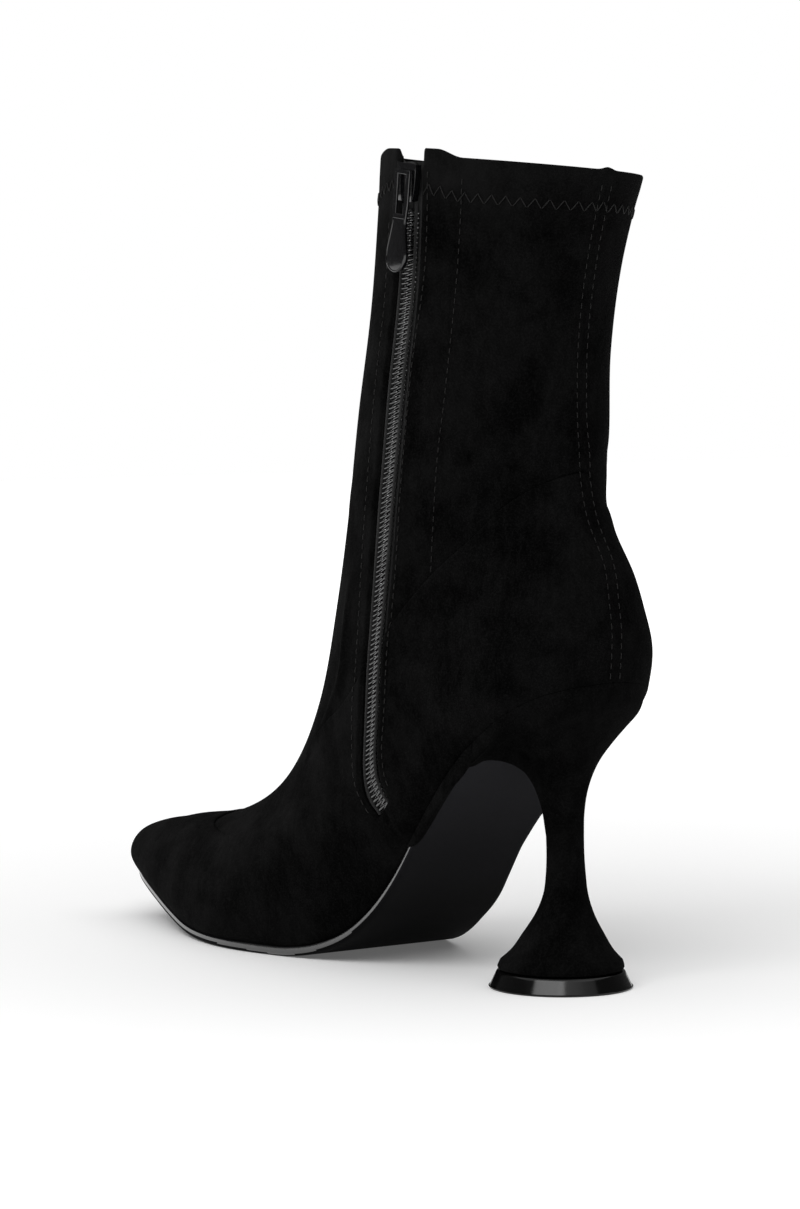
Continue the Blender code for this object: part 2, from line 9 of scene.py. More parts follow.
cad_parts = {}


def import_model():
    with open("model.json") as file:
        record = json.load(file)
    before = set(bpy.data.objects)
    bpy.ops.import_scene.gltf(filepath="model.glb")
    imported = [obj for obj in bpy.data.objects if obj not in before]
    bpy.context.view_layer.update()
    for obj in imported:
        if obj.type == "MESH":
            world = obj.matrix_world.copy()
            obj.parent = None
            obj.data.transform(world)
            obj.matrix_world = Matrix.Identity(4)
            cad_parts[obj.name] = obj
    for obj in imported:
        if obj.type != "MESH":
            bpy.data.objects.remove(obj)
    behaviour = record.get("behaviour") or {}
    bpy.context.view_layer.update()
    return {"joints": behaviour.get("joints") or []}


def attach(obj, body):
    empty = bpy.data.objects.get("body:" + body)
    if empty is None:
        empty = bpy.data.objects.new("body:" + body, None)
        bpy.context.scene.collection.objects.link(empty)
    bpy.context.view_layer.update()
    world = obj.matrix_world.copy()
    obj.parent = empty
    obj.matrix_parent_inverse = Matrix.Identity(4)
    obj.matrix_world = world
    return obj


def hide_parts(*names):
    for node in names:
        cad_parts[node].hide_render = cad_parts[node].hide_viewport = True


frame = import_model()

# Camera
# The boot is seen from behind its inner side, from just under the collar's height, through a long lens.
# Places on the boot are in millimetres: m towards the inner side, f forward from the heel, z up.
MM = 0.001
BOX_CENTRE = (-0.63, 117.23)
CAMERA_TURN = math.radians(40.0)
CAMERA_DISTANCE = 1300.0
CAMERA_HEIGHT = 200.0
CAMERA_AXIS = 24.0
CAMERA_AIM = (35.8, 54.0, 111.0)
LENS = 134.4
SENSOR_WIDTH = 36.0
NEAR_CLIP = 0.05


def world(points):
    """Millimetres as (m, f, z) to the scene's metres."""
    points = np.asarray(points, float)
    m, f, z = points[..., 0], points[..., 1], points[..., 2]
    return np.stack([m - BOX_CENTRE[0], BOX_CENTRE[1] - f, z], -1) * MM


def towards_camera(turn, distance, height):
    """Place round the heel's axis: turn from straight behind the boot towards its inner side."""
    return Vector(world((distance * math.sin(turn), CAMERA_AXIS - distance * math.cos(turn), height)))


bpy.ops.object.camera_add(location=towards_camera(CAMERA_TURN, CAMERA_DISTANCE, CAMERA_HEIGHT))
camera = bpy.context.object
camera.name = "camera"
camera.rotation_euler = (Vector(world(CAMERA_AIM)) - camera.location).to_track_quat("-Z", "Y").to_euler()
camera.data.sensor_width = SENSOR_WIDTH
camera.data.lens = LENS
camera.data.clip_start = NEAR_CLIP
bpy.context.scene.camera = camera

# Upper
# Vamp, counter and shaft are cut from black stretch microsuede, sewn flat and drawn over the last.
# Vamp and counter lap over the shaft, the collar is turned in, and a slot is left open for the zip.
GAP = 0.3
WALL = 1.15
PANEL_STEP = 0.7
SOLE_THICKNESS = 2.7
SLOT_WIDTH = 9.8
SLOT_END_WIDTH = 8.0
SLOT_END_SHARE = 0.151
SLOT_FULL_SHARE = 0.25
SLOT_OPENING = 1.2
HEM_SHARE = 0.967
MIDDLE_SHARE = 0.5
SMALL_STEP = 0.002

# Height of the upper's lower edge above the floor, along the foot
EdgePoint = namedtuple("EdgePoint", "f z")
LOWER_EDGE = [
    EdgePoint(0, 90.3), EdgePoint(10, 86.2), EdgePoint(25, 76.3), EdgePoint(40, 62.8),
    EdgePoint(57, 45.8), EdgePoint(72, 29.8), EdgePoint(86, 17.4), EdgePoint(96, 10.5),
    EdgePoint(108, 5.4), EdgePoint(120, 3.2), EdgePoint(130, 3.0), EdgePoint(155, 3.0),
    EdgePoint(175, 4.2), EdgePoint(190, 7.0), EdgePoint(205, 10.3), EdgePoint(220, 13.5),
    EdgePoint(231, 16.0),
]

# Sideways curve of the last, towards the inner side
Swing = namedtuple("Swing", "f m")
LAST_SWING = [Swing(0, 0), Swing(60, 0), Swing(130, -3), Swing(175, -2), Swing(210, 1), Swing(240, 3.5)]

# How far the upper's lower edge is drawn in under the outer waist, along the foot, and the share of the
# height at which that ends
Tuck = namedtuple("Tuck", "f mm")
WAIST_TUCK = [
    Tuck(18, 0.0), Tuck(25, 1.6), Tuck(32, 3.9), Tuck(38, 5.4), Tuck(46, 7.6), Tuck(54, 8.8),
    Tuck(60, 7.9), Tuck(65, 6.6), Tuck(70, 4.7), Tuck(75, 2.7), Tuck(80, 0.8), Tuck(85, -0.2), Tuck(92, 0.0),
]
TUCK_SHARE = 0.16

# Girth rings from sole to collar: back and front point, dip with the arch, and fullness back to front
Ring = namedtuple("Ring", "share back_f back_z front_f front_z dip back waist ball front")
RINGS = [
    Ring(0.00, 1.0, 90.3, 231.0, 16.0, 1.00, 56.0, 24.5, 36.5, 19.0),
    Ring(0.06, 0.6, 94.0, 234.5, 20.3, 0.93, 57.5, 28.0, 38.5, 22.0),
    Ring(0.14, 0.2, 99.0, 228.5, 27.5, 0.80, 58.0, 31.0, 38.0, 25.0),
    Ring(0.24, 0.0, 105.0, 208.0, 33.5, 0.62, 54.0, 34.0, 36.0, 25.0),
    Ring(0.34, 1.2, 113.0, 177.5, 38.5, 0.42, 46.0, 36.5, 33.0, 26.0),
    Ring(0.44, 3.6, 124.0, 149.5, 49.5, 0.22, 36.0, 37.0, 34.5, 30.0),
    Ring(0.53, 11.0, 137.0, 129.5, 70.0, 0.10, 29.5, 36.0, 36.0, 32.0),
    Ring(0.62, 14.3, 151.0, 116.4, 97.0, 0.00, 26.5, 34.5, 37.0, 34.0),
    Ring(0.71, 14.8, 166.0, 108.4, 125.0, 0.00, 29.0, 34.5, 37.0, 35.0),
    Ring(0.81, 14.3, 188.0, 103.0, 159.5, 0.00, 29.0, 33.0, 35.5, 34.5),
    Ring(0.91, 10.1, 212.0, 96.8, 196.5, 0.00, 30.0, 32.5, 34.0, 33.5),
    Ring(1.00, 3.0, 235.2, 91.6, 240.4, 0.00, 33.0, 34.5, 35.0, 34.0),
]
STATIONS = np.array([0.0, 0.35, 0.65, 1.0])

# Rise of the collar for each millimetre towards the inner side, and how steeply that grows up the shaft
COLLAR_LEAN = 0.065
LEAN_GROWTH = 8

# Zip line on the inner side: degrees round from the back at each share of the height
ZipPoint = namedtuple("ZipPoint", "share degrees")
ZIP_LINE = [
    ZipPoint(0.00, 62.4), ZipPoint(0.15, 66.7), ZipPoint(0.25, 72.2), ZipPoint(0.37, 79.4),
    ZipPoint(0.46, 83.9), ZipPoint(0.55, 85.8), ZipPoint(0.65, 87.5), ZipPoint(0.78, 88.8),
    ZipPoint(0.90, 90.8), ZipPoint(1.00, 93.6),
]

# Top edge of counter and vamp, where they lap over the shaft: share of the height at each number of
# degrees from the back, on the inner and the outer side
PanelPoint = namedtuple("PanelPoint", "degrees inner outer")
PANEL_EDGE = [
    PanelPoint(0, 0.613, 0.613), PanelPoint(9, 0.611, 0.590), PanelPoint(18, 0.609, 0.568),
    PanelPoint(32, 0.603, 0.548), PanelPoint(42, 0.592, 0.540), PanelPoint(50, 0.574, 0.533),
    PanelPoint(66, 0.552, 0.520), PanelPoint(80, 0.525, 0.505), PanelPoint(91, 0.494, 0.490),
    PanelPoint(102, 0.473, 0.474), PanelPoint(109, 0.468, 0.468), PanelPoint(114, 0.445, 0.445),
    PanelPoint(117, 0.380, 0.380), PanelPoint(120, 0.305, 0.305), PanelPoint(124, 0.264, 0.264),
    PanelPoint(132, 0.256, 0.256), PanelPoint(142, 0.272, 0.272), PanelPoint(154, 0.305, 0.305),
    PanelPoint(168, 0.325, 0.325), PanelPoint(180, 0.330, 0.330),
]

# Soft troughs and ridges of the worn-in stretch suede: two ends on the upper, width and height
Crease = namedtuple("Crease", "start_share start_degrees end_share end_degrees width height")
CREASES = [
    Crease(0.625, 106.5, 0.488, 102, 2.0, 1.2),
    Crease(0.520, 101.5, 0.436, 119, 2.0, 1.2),
    Crease(0.750, 121, 0.676, 113, 3.0, 0.6),
    Crease(0.510, 107, 0.470, 118, 3.0, -0.6),
    Crease(0.600, 140, 0.520, 165, 4.5, -1.0),
    Crease(0.560, 150, 0.500, 185, 4.0, 0.7),
    Crease(0.520, 200, 0.570, 232, 4.5, -1.0),
    Crease(0.600, 205, 0.660, 240, 5.0, -0.8),
    Crease(0.290, 150, 0.300, 178, 5.0, -0.5),
    Crease(0.245, 160, 0.240, 200, 5.0, -0.4),
    Crease(0.660, -30, 0.640, -75, 5.0, -0.8),
    Crease(0.690, 20, 0.665, 55, 6.0, -0.6),
]
CREASE_STEPS = 25
CREASE_END = 0.02
CREASE_FADE = 0.7


def hermite(xs, columns):
    """Smooth curves through the same places xs, one for each row of columns."""
    slopes = np.gradient(columns, xs, axis=-1)

    def at(x):
        x = np.clip(x, xs[0], xs[-1])
        i = np.clip(np.searchsorted(xs, x, side="right") - 1, 0, len(xs) - 2)
        step = xs[i + 1] - xs[i]
        s = (x - xs[i]) / step
        value = (1 + 2 * s) * (1 - s) ** 2 * columns[:, i] + s * s * (3 - 2 * s) * columns[:, i + 1]
        value += step * s * (1 - s) ** 2 * slopes[:, i] - step * s * s * (1 - s) * slopes[:, i + 1]
        return value[0] if len(columns) == 1 else value
    return at


def curve_through(rows):
    """Smooth curve through the rows of a two-column table."""
    xs, ys = np.array(rows, float).T
    return hermite(xs, ys[None, :])


lower_edge = curve_through(LOWER_EDGE)
last_swing = curve_through(LAST_SWING)
waist_tuck = curve_through(WAIST_TUCK)
zip_degrees = curve_through(ZIP_LINE)
panel_table = np.array(PANEL_EDGE, float)
panel_edges = hermite(panel_table[:, 0], panel_table[:, 1:].T)
ring_table = np.array(RINGS, float)
ring_columns = hermite(ring_table[:, 0], ring_table[:, 1:].T)
fullness_weights = hermite(STATIONS, np.eye(len(STATIONS)))


def lower_edge_z(f):
    """Height of the upper's lower edge, flat where the sole stands on the floor."""
    return np.maximum(lower_edge(f), SOLE_THICKNESS + GAP)


def arch_dip(along):
    """How far the sole's edge lies below a straight line from its back to its toe."""
    first = RINGS[0]
    f = first.back_f + (first.front_f - first.back_f) * along
    return lower_edge_z(f) - (first.back_z + (first.front_z - first.back_z) * along)


def upper_point(share, angle):
    """Point of the upper's middle form; angle 0 at the back, pi at the toe, positive on the inner side."""
    share, angle = np.broadcast_arrays(np.asarray(share, float), np.asarray(angle, float))
    back_f, back_z, front_f, front_z, dip, *fullness = ring_columns(share)
    along = (1 - np.cos(angle)) / 2
    f = back_f + (front_f - back_f) * along
    z = back_z + (front_z - back_z) * along + dip * arch_dip(along)
    weights = fullness_weights(along)
    width = sum(w * g for w, g in zip(weights, fullness))
    tucked = waist_tuck(f) * np.clip(1 - share / TUCK_SHARE, 0, 1) ** 2
    m = np.sin(angle) * width + last_swing(f) + np.where(np.sin(angle) < 0, tucked, 0.0)
    return np.stack([m, f, z + COLLAR_LEAN * m * share ** LEAN_GROWTH], -1)


def way_round(share, angle):
    """Short step of the middle form from just behind an angle to just before it."""
    return upper_point(share, angle + SMALL_STEP) - upper_point(share, angle - SMALL_STEP)


def upper_normal(share, angle):
    """Outward unit normal of the middle form."""
    share = np.clip(share, SMALL_STEP, 1 - SMALL_STEP)
    upward = upper_point(share + SMALL_STEP, angle) - upper_point(share - SMALL_STEP, angle)
    normal = np.cross(upward, way_round(share, angle))
    return -normal / np.linalg.norm(normal, axis=-1, keepdims=True)


def girth_rate(share, angle):
    """Millimetres round the boot for each radian."""
    return np.linalg.norm(way_round(share, angle), axis=-1) / (2 * SMALL_STEP)


def zip_angle(share, across):
    """Angle of a place that lies across millimetres in front of the zip line."""
    centre = np.radians(zip_degrees(share))
    return centre + across / girth_rate(share, centre)


def smooth(x, low, high):
    """Soft ramp from 0 at low to 1 at high."""
    t = np.clip((x - low) / (high - low), 0, 1)
    return t * t * (3 - 2 * t)


def bump(distance, width):
    """Soft hump of height 1 at distance 0."""
    return np.exp(-(distance / width) ** 2)


def slot_half(share):
    """Half of the zip slot's width, narrower at its round lower end and opened a little at the collar."""
    width = SLOT_END_WIDTH + (SLOT_WIDTH - SLOT_END_WIDTH) * smooth(share, SLOT_END_SHARE, SLOT_FULL_SHARE)
    return (width + SLOT_OPENING * smooth(share, HEM_SHARE, 1)) / 2


def edge_share(degrees):
    """Share at which counter or vamp ends, at a number of degrees from the back, inner side positive."""
    inner, outer = panel_edges(np.abs(degrees))
    return np.where(degrees > 0, inner, outer)


def panel_top(share, angle):
    """Share at which counter or vamp ends, straight above or below a place on the upper."""
    rear = zip_angle(share, -slot_half(share))
    front = zip_angle(share, slot_half(share))
    rear_middle = zip_angle(MIDDLE_SHARE, -SLOT_WIDTH / 2)
    front_middle = zip_angle(MIDDLE_SHARE, SLOT_WIDTH / 2)
    turned = np.where(angle > np.pi, angle - 2 * np.pi, angle)
    ahead = np.pi - (np.pi - turned) * (np.pi - front_middle) / (np.pi - front)
    behind = np.where(turned > 0, turned * rear_middle / rear, turned)
    middle = np.where(turned > (rear + front) / 2, ahead, behind)
    return edge_share(np.degrees(middle))


def from_zip(share, angle):
    """Millimetres in front of the zip's centre line."""
    centre = np.radians(zip_degrees(share))
    turned = (angle - centre + np.pi) % (2 * np.pi) - np.pi
    return turned * girth_rate(share, angle)


def from_back(share, angle):
    """Millimetres from the centre-back seam, positive on the inner side."""
    turned = (angle + np.pi) % (2 * np.pi) - np.pi
    return turned * girth_rate(share, angle)


# Rows of stitches up the shaft: millimetres from the zip, or degrees from the back, at each share
StitchPoint = namedtuple("StitchPoint", "share place")
ZIP_REAR_STITCH = [StitchPoint(0.19, 7.8), StitchPoint(0.446, 8.2), StitchPoint(0.556, 7.6),
                   StitchPoint(0.678, 6.4), StitchPoint(0.774, 6.0), StitchPoint(0.842, 6.3),
                   StitchPoint(0.916, 7.6), StitchPoint(0.985, 7.7)]
ZIP_FRONT_STITCH = [StitchPoint(0.19, 5.8), StitchPoint(0.26, 6.4), StitchPoint(0.36, 9.0),
                    StitchPoint(0.43, 10.4), StitchPoint(0.60, 11.2), StitchPoint(0.96, 11.4)]
SIDE_STITCH = [StitchPoint(0.55, 65.2), StitchPoint(0.60, 66.2), StitchPoint(0.72, 66.2),
               StitchPoint(0.78, 65.3), StitchPoint(0.91, 65.8), StitchPoint(0.985, 67.0)]
BACK_STITCH = 1.75
zip_rear_stitch = curve_through(ZIP_REAR_STITCH)
zip_front_stitch = curve_through(ZIP_FRONT_STITCH)
side_stitch = curve_through(SIDE_STITCH)

# Low relief over the plain form, in millimetres: height, width, and place beside the line that it follows
Relief = namedtuple("Relief", "height width place")
SLOT_ROLL = Relief(-0.6, 1.2, 0.0)
SLOT_WELT = Relief(0.22, 1.3, 1.9)
ZIP_END_DART = Relief(-0.40, 1.0, 0.0)
BACK_SEAM = Relief(-0.35, 0.7, 0.0)
BACK_WELT = Relief(0.14, 0.8, 1.0)
STITCH_PULL = Relief(-0.16, 0.8, 0.0)
SLOUCH = Relief(1.3, 20.0, -9.0)
SLOUCH_RISE = (0.585, 0.63)
SLOUCH_FALL = (0.64, 0.72)
SLOT_FADE = 0.02


def crease_relief(points):
    """Height of the soft troughs and ridges at each point of the middle form."""
    relief = np.zeros(points.shape[:-1])
    steps = np.linspace(0, 1, CREASE_STEPS)
    for crease in CREASES:
        share = crease.start_share + (crease.end_share - crease.start_share) * steps
        angle = np.radians(crease.start_degrees + (crease.end_degrees - crease.start_degrees) * steps)
        line = upper_point(share, angle)
        away = np.full(points.shape[:-1], np.inf)
        place = np.zeros(points.shape[:-1])
        for step, spot in zip(steps, line):
            distance = np.linalg.norm(points - spot, axis=-1)
            nearer = distance < away
            away = np.where(nearer, distance, away)
            place = np.where(nearer, step, place)
        ends = np.sin(np.pi * np.clip(place, CREASE_END, 1 - CREASE_END)) ** CREASE_FADE
        relief += crease.height * bump(away, crease.width) * ends
    return relief


def upper_relief(share, angle):
    """Height of seams, pulled stitch lines, rolled edges, slouch and creases over the plain form."""
    ahead = from_zip(share, angle)
    behind = from_back(share, angle)
    edge = np.abs(ahead) - slot_half(share)
    on_shaft = share > panel_top(share, angle)
    near_slot = smooth(share, SLOT_END_SHARE - SLOT_FADE, SLOT_END_SHARE + SLOT_FADE)
    relief = SLOT_ROLL.height * near_slot * (1 - smooth(edge, 0, SLOT_ROLL.width))
    relief += SLOT_WELT.height * near_slot * bump(edge - SLOT_WELT.place, SLOT_WELT.width)
    relief += ZIP_END_DART.height * bump(ahead, ZIP_END_DART.width) * (1 - near_slot)
    relief += BACK_SEAM.height * bump(behind, BACK_SEAM.width)
    relief += BACK_WELT.height * bump(np.abs(behind) - BACK_WELT.place, BACK_WELT.width)
    back_lines = np.abs(behind) - BACK_STITCH
    zip_lines = (ahead - zip_front_stitch(share), ahead + zip_rear_stitch(share))
    for line in (back_lines, *zip_lines):
        relief += STITCH_PULL.height * bump(line, STITCH_PULL.width) * near_slot
    side = (np.degrees(angle) - side_stitch(share)) * girth_rate(share, angle) * np.radians(1)
    relief += STITCH_PULL.height * bump(side, STITCH_PULL.width) * on_shaft
    slouch = smooth(share, *SLOUCH_RISE) * (1 - smooth(share, *SLOUCH_FALL))
    relief += SLOUCH.height * slouch * on_shaft * bump(behind - SLOUCH.place, SLOUCH.width)
    return relief + crease_relief(upper_point(share, angle))


# Columns of the upper's mesh: in the slot, close to its edges, and close to the back seam
SLOT_COLUMNS = 5
EDGE_STEPS = np.array([0.0, 0.35, 0.75, 1.3, 2.1, 3.2])
SEAM_STEPS = np.array([3.2, 2.2, 1.5, 0.9, 0.45, 0.0, -0.45, -0.9, -1.5, -2.2, -3.2])
BACK_COLUMNS = 52
OUTER_COLUMNS = 118
FRONT_COLUMNS = 84
PANEL_ROWS = np.concatenate([np.linspace(0, 0.982, 56), [0.988, 0.992, 0.995, 0.9975, 0.999, 1.0]])
SHAFT_ROWS = np.concatenate([[0.0, 0.004, 0.011, 0.021], np.linspace(0.035, 0.985, 70), [1.0]])
HEM_ROWS = np.array([0.0, 0.03, 0.08, 0.16, 0.28, 0.42, 0.56, 0.70, 0.82, 0.91, 0.96, 0.985, 1.0])

# Height of the rows over the middle form: tucked at the sole, lapped at the panels' edge, turned at the top
RowRise = namedtuple("RowRise", "share rise")
PANEL_RISE = [
    RowRise(0, -0.2), RowRise(0.012, 0.2), RowRise(0.03, 0.35), RowRise(0.982, 0.35), RowRise(0.992, 0.3),
    RowRise(0.9975, 0.1), RowRise(1.0, -0.2),
]
SHAFT_RISE = [RowRise(0, -0.6), RowRise(0.011, -0.45), RowRise(0.035, -0.35), RowRise(1.0, -0.35)]
HEM_RISE = [
    RowRise(0, -0.35), RowRise(0.2, -0.3), RowRise(0.6, -0.1), RowRise(0.91, -0.05), RowRise(0.96, -0.15),
    RowRise(1.0, -0.5),
]

# The lap's step is lower on the vamp: how much of it is lost, and over which degrees from the back
LAP_LOSS = 0.25
LAP_FADE = (88, 104)

# Collar's edge in millimetres: how far it stands up or drops in front of the zip, behind it and at the back
FRONT_LIFT = 1.7
FRONT_DROP = Relief(2.3, 2.6, 0.0)
FRONT_FULL = 8.0
FRONT_FADE = 9.0
REAR_LIFT = 2.1
REAR_REACH = (5.0, 14.0)
BACK_LIFT = Relief(0.8, 2.2, 0.0)
LIFT_SHARES = (0.93, 1.0)


def between(start, end, count):
    """Angles strictly between two columns of angles."""
    shares = np.arange(1, count + 1) / (count + 1)
    return start[:, None] + (end - start)[:, None] * shares


def column_angles(share):
    """Angles of the mesh's columns at one share of each row, from the zip's centre round the back."""
    half = slot_half(share)
    slot = np.arange(SLOT_COLUMNS) / SLOT_COLUMNS * half[:, None]
    back = np.zeros(len(share))
    rear = zip_angle(share[:, None], -(half[:, None] + EDGE_STEPS))
    seam = SEAM_STEPS / girth_rate(share, back)[:, None]
    front = zip_angle(share[:, None], (half[:, None] + EDGE_STEPS)[:, ::-1]) - 2 * np.pi
    return np.concatenate([
        zip_angle(share[:, None], -slot), rear, between(rear[:, -1], seam[:, 0], BACK_COLUMNS), seam,
        between(seam[:, -1], back - np.pi, OUTER_COLUMNS), (back - np.pi)[:, None],
        between(back - np.pi, front[:, 0], FRONT_COLUMNS), front,
        zip_angle(share[:, None], slot[:, :0:-1]) - 2 * np.pi,
    ], axis=1)


def upper_grid(panel_rows, shaft_rows, hem_rows):
    """Shares and angles of a grid whose rows follow the panels' edge and the hem."""
    middle = column_angles(np.array([MIDDLE_SHARE]))[0]
    edge = edge_share(np.degrees((middle + np.pi) % (2 * np.pi) - np.pi))
    shaft = edge + shaft_rows[:, None] * (HEM_SHARE - edge)
    hem = np.broadcast_to((HEM_SHARE + hem_rows * (1 - HEM_SHARE))[:, None], (len(hem_rows), len(middle)))
    share = np.concatenate([panel_rows[:, None] * edge, shaft, hem])
    angle = np.empty_like(share)
    for column in range(share.shape[1]):
        angle[:, column] = column_angles(share[:, column])[:, column]
    return share, angle


def row_rises():
    """Height of each row of the upper's mesh over the middle form."""
    stretches = ((PANEL_ROWS, PANEL_RISE), (SHAFT_ROWS, SHAFT_RISE), (HEM_ROWS, HEM_RISE))
    return np.concatenate([np.interp(rows, *np.array(rises, float).T) for rows, rises in stretches])


def lap_height(angle):
    """How much of the lap's step shows: all of it at the counter, less on the vamp, which is sewn flatter."""
    turned = np.abs((angle + np.pi) % (2 * np.pi) - np.pi)
    return 1 - LAP_LOSS * smooth(np.degrees(turned), *LAP_FADE)


def collar_lift(share, angle):
    """How much the collar's edge stands up or drops beside the zip and at the back seam."""
    ahead = from_zip(share, angle)
    behind = from_back(share, angle)
    edge = np.abs(ahead) - slot_half(share)
    front = FRONT_LIFT - FRONT_DROP.height * (1 - smooth(edge, 0, FRONT_DROP.width))
    front = front * bump(np.maximum(edge - FRONT_FULL, 0), FRONT_FADE)
    rear = REAR_LIFT * (1 - smooth(edge, *REAR_REACH))
    lift = np.where(ahead > 0, front, rear)
    return (lift + BACK_LIFT.height * bump(behind, BACK_LIFT.width)) * smooth(share, *LIFT_SHARES)


# Wall of a tube or sheet before its points are put in their places, and distance at which its ends merge
WORK_WALL = 0.05
WORK_MERGE = 0.0001


def deselect_all():
    """Leaves nothing selected, so that the next operator acts on its own piece alone."""
    bpy.ops.object.select_all(action="DESELECT")


def select_only(piece):
    """Makes a piece the active one and the only one that is selected."""
    deselect_all()
    piece.select_set(True)
    bpy.context.view_layer.objects.active = piece


def vertex_points(piece):
    """Places of a piece's vertices."""
    points = np.empty(len(piece.data.vertices) * 3)
    piece.data.vertices.foreach_get("co", points)
    return points.reshape(-1, 3)


def place_vertices(piece, points):
    """Moves a piece's vertices to points in millimetres."""
    piece.data.vertices.foreach_set("co", world(points).ravel())
    piece.data.update()


def rolled_tube(name, columns, rows):
    """A flat grid rolled into a tube of radius 1, with one column of faces for each column."""
    deselect_all()
    bpy.ops.mesh.primitive_grid_add(x_subdivisions=columns, y_subdivisions=rows - 1, size=2)
    piece = bpy.context.object
    piece.name = name
    flat = vertex_points(piece)
    turn = (flat[:, 0] + 1) * np.pi
    round_points = np.stack([np.cos(turn), np.sin(turn), flat[:, 1]], -1)
    piece.data.vertices.foreach_set("co", round_points.ravel())
    bpy.ops.object.mode_set(mode="EDIT")
    bpy.ops.mesh.select_all(action="SELECT")
    bpy.ops.mesh.remove_doubles(threshold=WORK_MERGE)
    bpy.ops.object.mode_set(mode="OBJECT")
    return piece


def tube_places(piece, columns, rows):
    """Column, row and distance from the axis of each vertex of a rolled tube."""
    points = vertex_points(piece)
    turn = np.arctan2(points[:, 1], points[:, 0])
    column = np.rint(turn / (2 * np.pi) * columns).astype(int) % columns
    row = np.rint((points[:, 2] + 1) / 2 * (rows - 1)).astype(int)
    return column, row, np.hypot(points[:, 0], points[:, 1])


def delete_faces(piece, chosen):
    """Removes the faces whose numbers are chosen."""
    bpy.ops.object.mode_set(mode="EDIT")
    bpy.ops.mesh.select_all(action="DESELECT")
    bpy.ops.mesh.select_mode(type="FACE")
    bpy.ops.object.mode_set(mode="OBJECT")
    flags = np.zeros(len(piece.data.polygons), bool)
    flags[chosen] = True
    piece.data.polygons.foreach_set("select", flags)
    bpy.ops.object.mode_set(mode="EDIT")
    bpy.ops.mesh.delete(type="FACE")
    bpy.ops.object.mode_set(mode="OBJECT")


def give_wall(piece, thickness):
    """Turns a sheet into a closed wall, inwards from the sheet."""
    wall = piece.modifiers.new("wall", "SOLIDIFY")
    wall.thickness = thickness
    wall.offset = -1.0
    bpy.context.view_layer.objects.active = piece
    bpy.ops.object.modifier_apply(modifier=wall.name)


def slotted_tube(name, share):
    """A tube wall with the zip's slot cut out of it, still round, ready to be drawn over the last."""
    rows, columns = share.shape
    slot_row = int(np.argmax(share[:, 0] >= SLOT_END_SHARE))
    tube = rolled_tube(name, columns, rows)
    column, row, _ = tube_places(tube, columns, rows)
    chosen = []
    for face in tube.data.polygons:
        corners = list(face.vertices)
        spread = column[corners]
        in_slot = np.all((spread <= SLOT_COLUMNS) | (spread >= columns - SLOT_COLUMNS))
        in_slot &= not np.any((spread == SLOT_COLUMNS) & np.any(spread > SLOT_COLUMNS))
        if in_slot and row[corners].min() >= slot_row:
            chosen.append(face.index)
    delete_faces(tube, chosen)
    give_wall(tube, WORK_WALL)
    return tube


def draw_over_last(tube, outside, inside):
    """Places a slotted tube's two skins."""
    rows, columns = outside.shape[:2]
    column, row, radius = tube_places(tube, columns, rows)
    outer = radius > 1 - WORK_WALL / 2
    place_vertices(tube, np.where(outer[:, None], outside[row, column], inside[row, column]))


def smooth_faces(piece, degrees):
    """Shades a piece smooth, with edges sharper than the angle left crisp."""
    select_only(piece)
    bpy.ops.object.shade_smooth_by_angle(angle=math.radians(degrees))


share, angle = upper_grid(PANEL_ROWS, SHAFT_ROWS, HEM_ROWS)
middle = upper_point(share, angle)
normal = upper_normal(share, angle)
rise = row_rises()[:, None] * lap_height(angle) + upper_relief(share, angle)
outside = middle + normal * rise[..., None]
inside = middle - normal * WALL
for skin in (outside, inside):
    skin[0, :, 2] = lower_edge_z(skin[0, :, 1])
    skin[..., 2] += collar_lift(share, angle)
upper = slotted_tube("upper_suede", share)
draw_over_last(upper, outside, inside)
smooth_faces(upper, degrees=50)


def colour(hex_value):
    """Linear colour of an sRGB hex value."""
    parts = [int(hex_value[i:i + 2], 16) / 255 for i in (1, 3, 5)]
    linear = [c / 12.92 if c <= 0.04045 else ((c + 0.055) / 1.055) ** 2.4 for c in parts]
    return (*linear, 1.0)


def feed(tree, node, inputs):
    """Sets a node's inputs; each is a value or the socket that feeds it."""
    for name, value in inputs.items():
        if isinstance(value, bpy.types.NodeSocket):
            tree.links.new(value, node.inputs[name])
        else:
            node.inputs[name].default_value = value


def add_node(tree, kind, inputs=None, **settings):
    """Adds a node with its settings and inputs."""
    node = tree.nodes.new(kind)
    for name, value in settings.items():
        setattr(node, name, value)
    feed(tree, node, inputs or {})
    return node


def new_finish(name):
    """A new material, its node tree and its shader."""
    finish = bpy.data.materials.new(name)
    finish.use_nodes = True
    return finish, finish.node_tree, finish.node_tree.nodes["Principled BSDF"]


def per_mm(size):
    """Scale of a pattern whose features are this many millimetres wide."""
    return 1 / (size * MM)


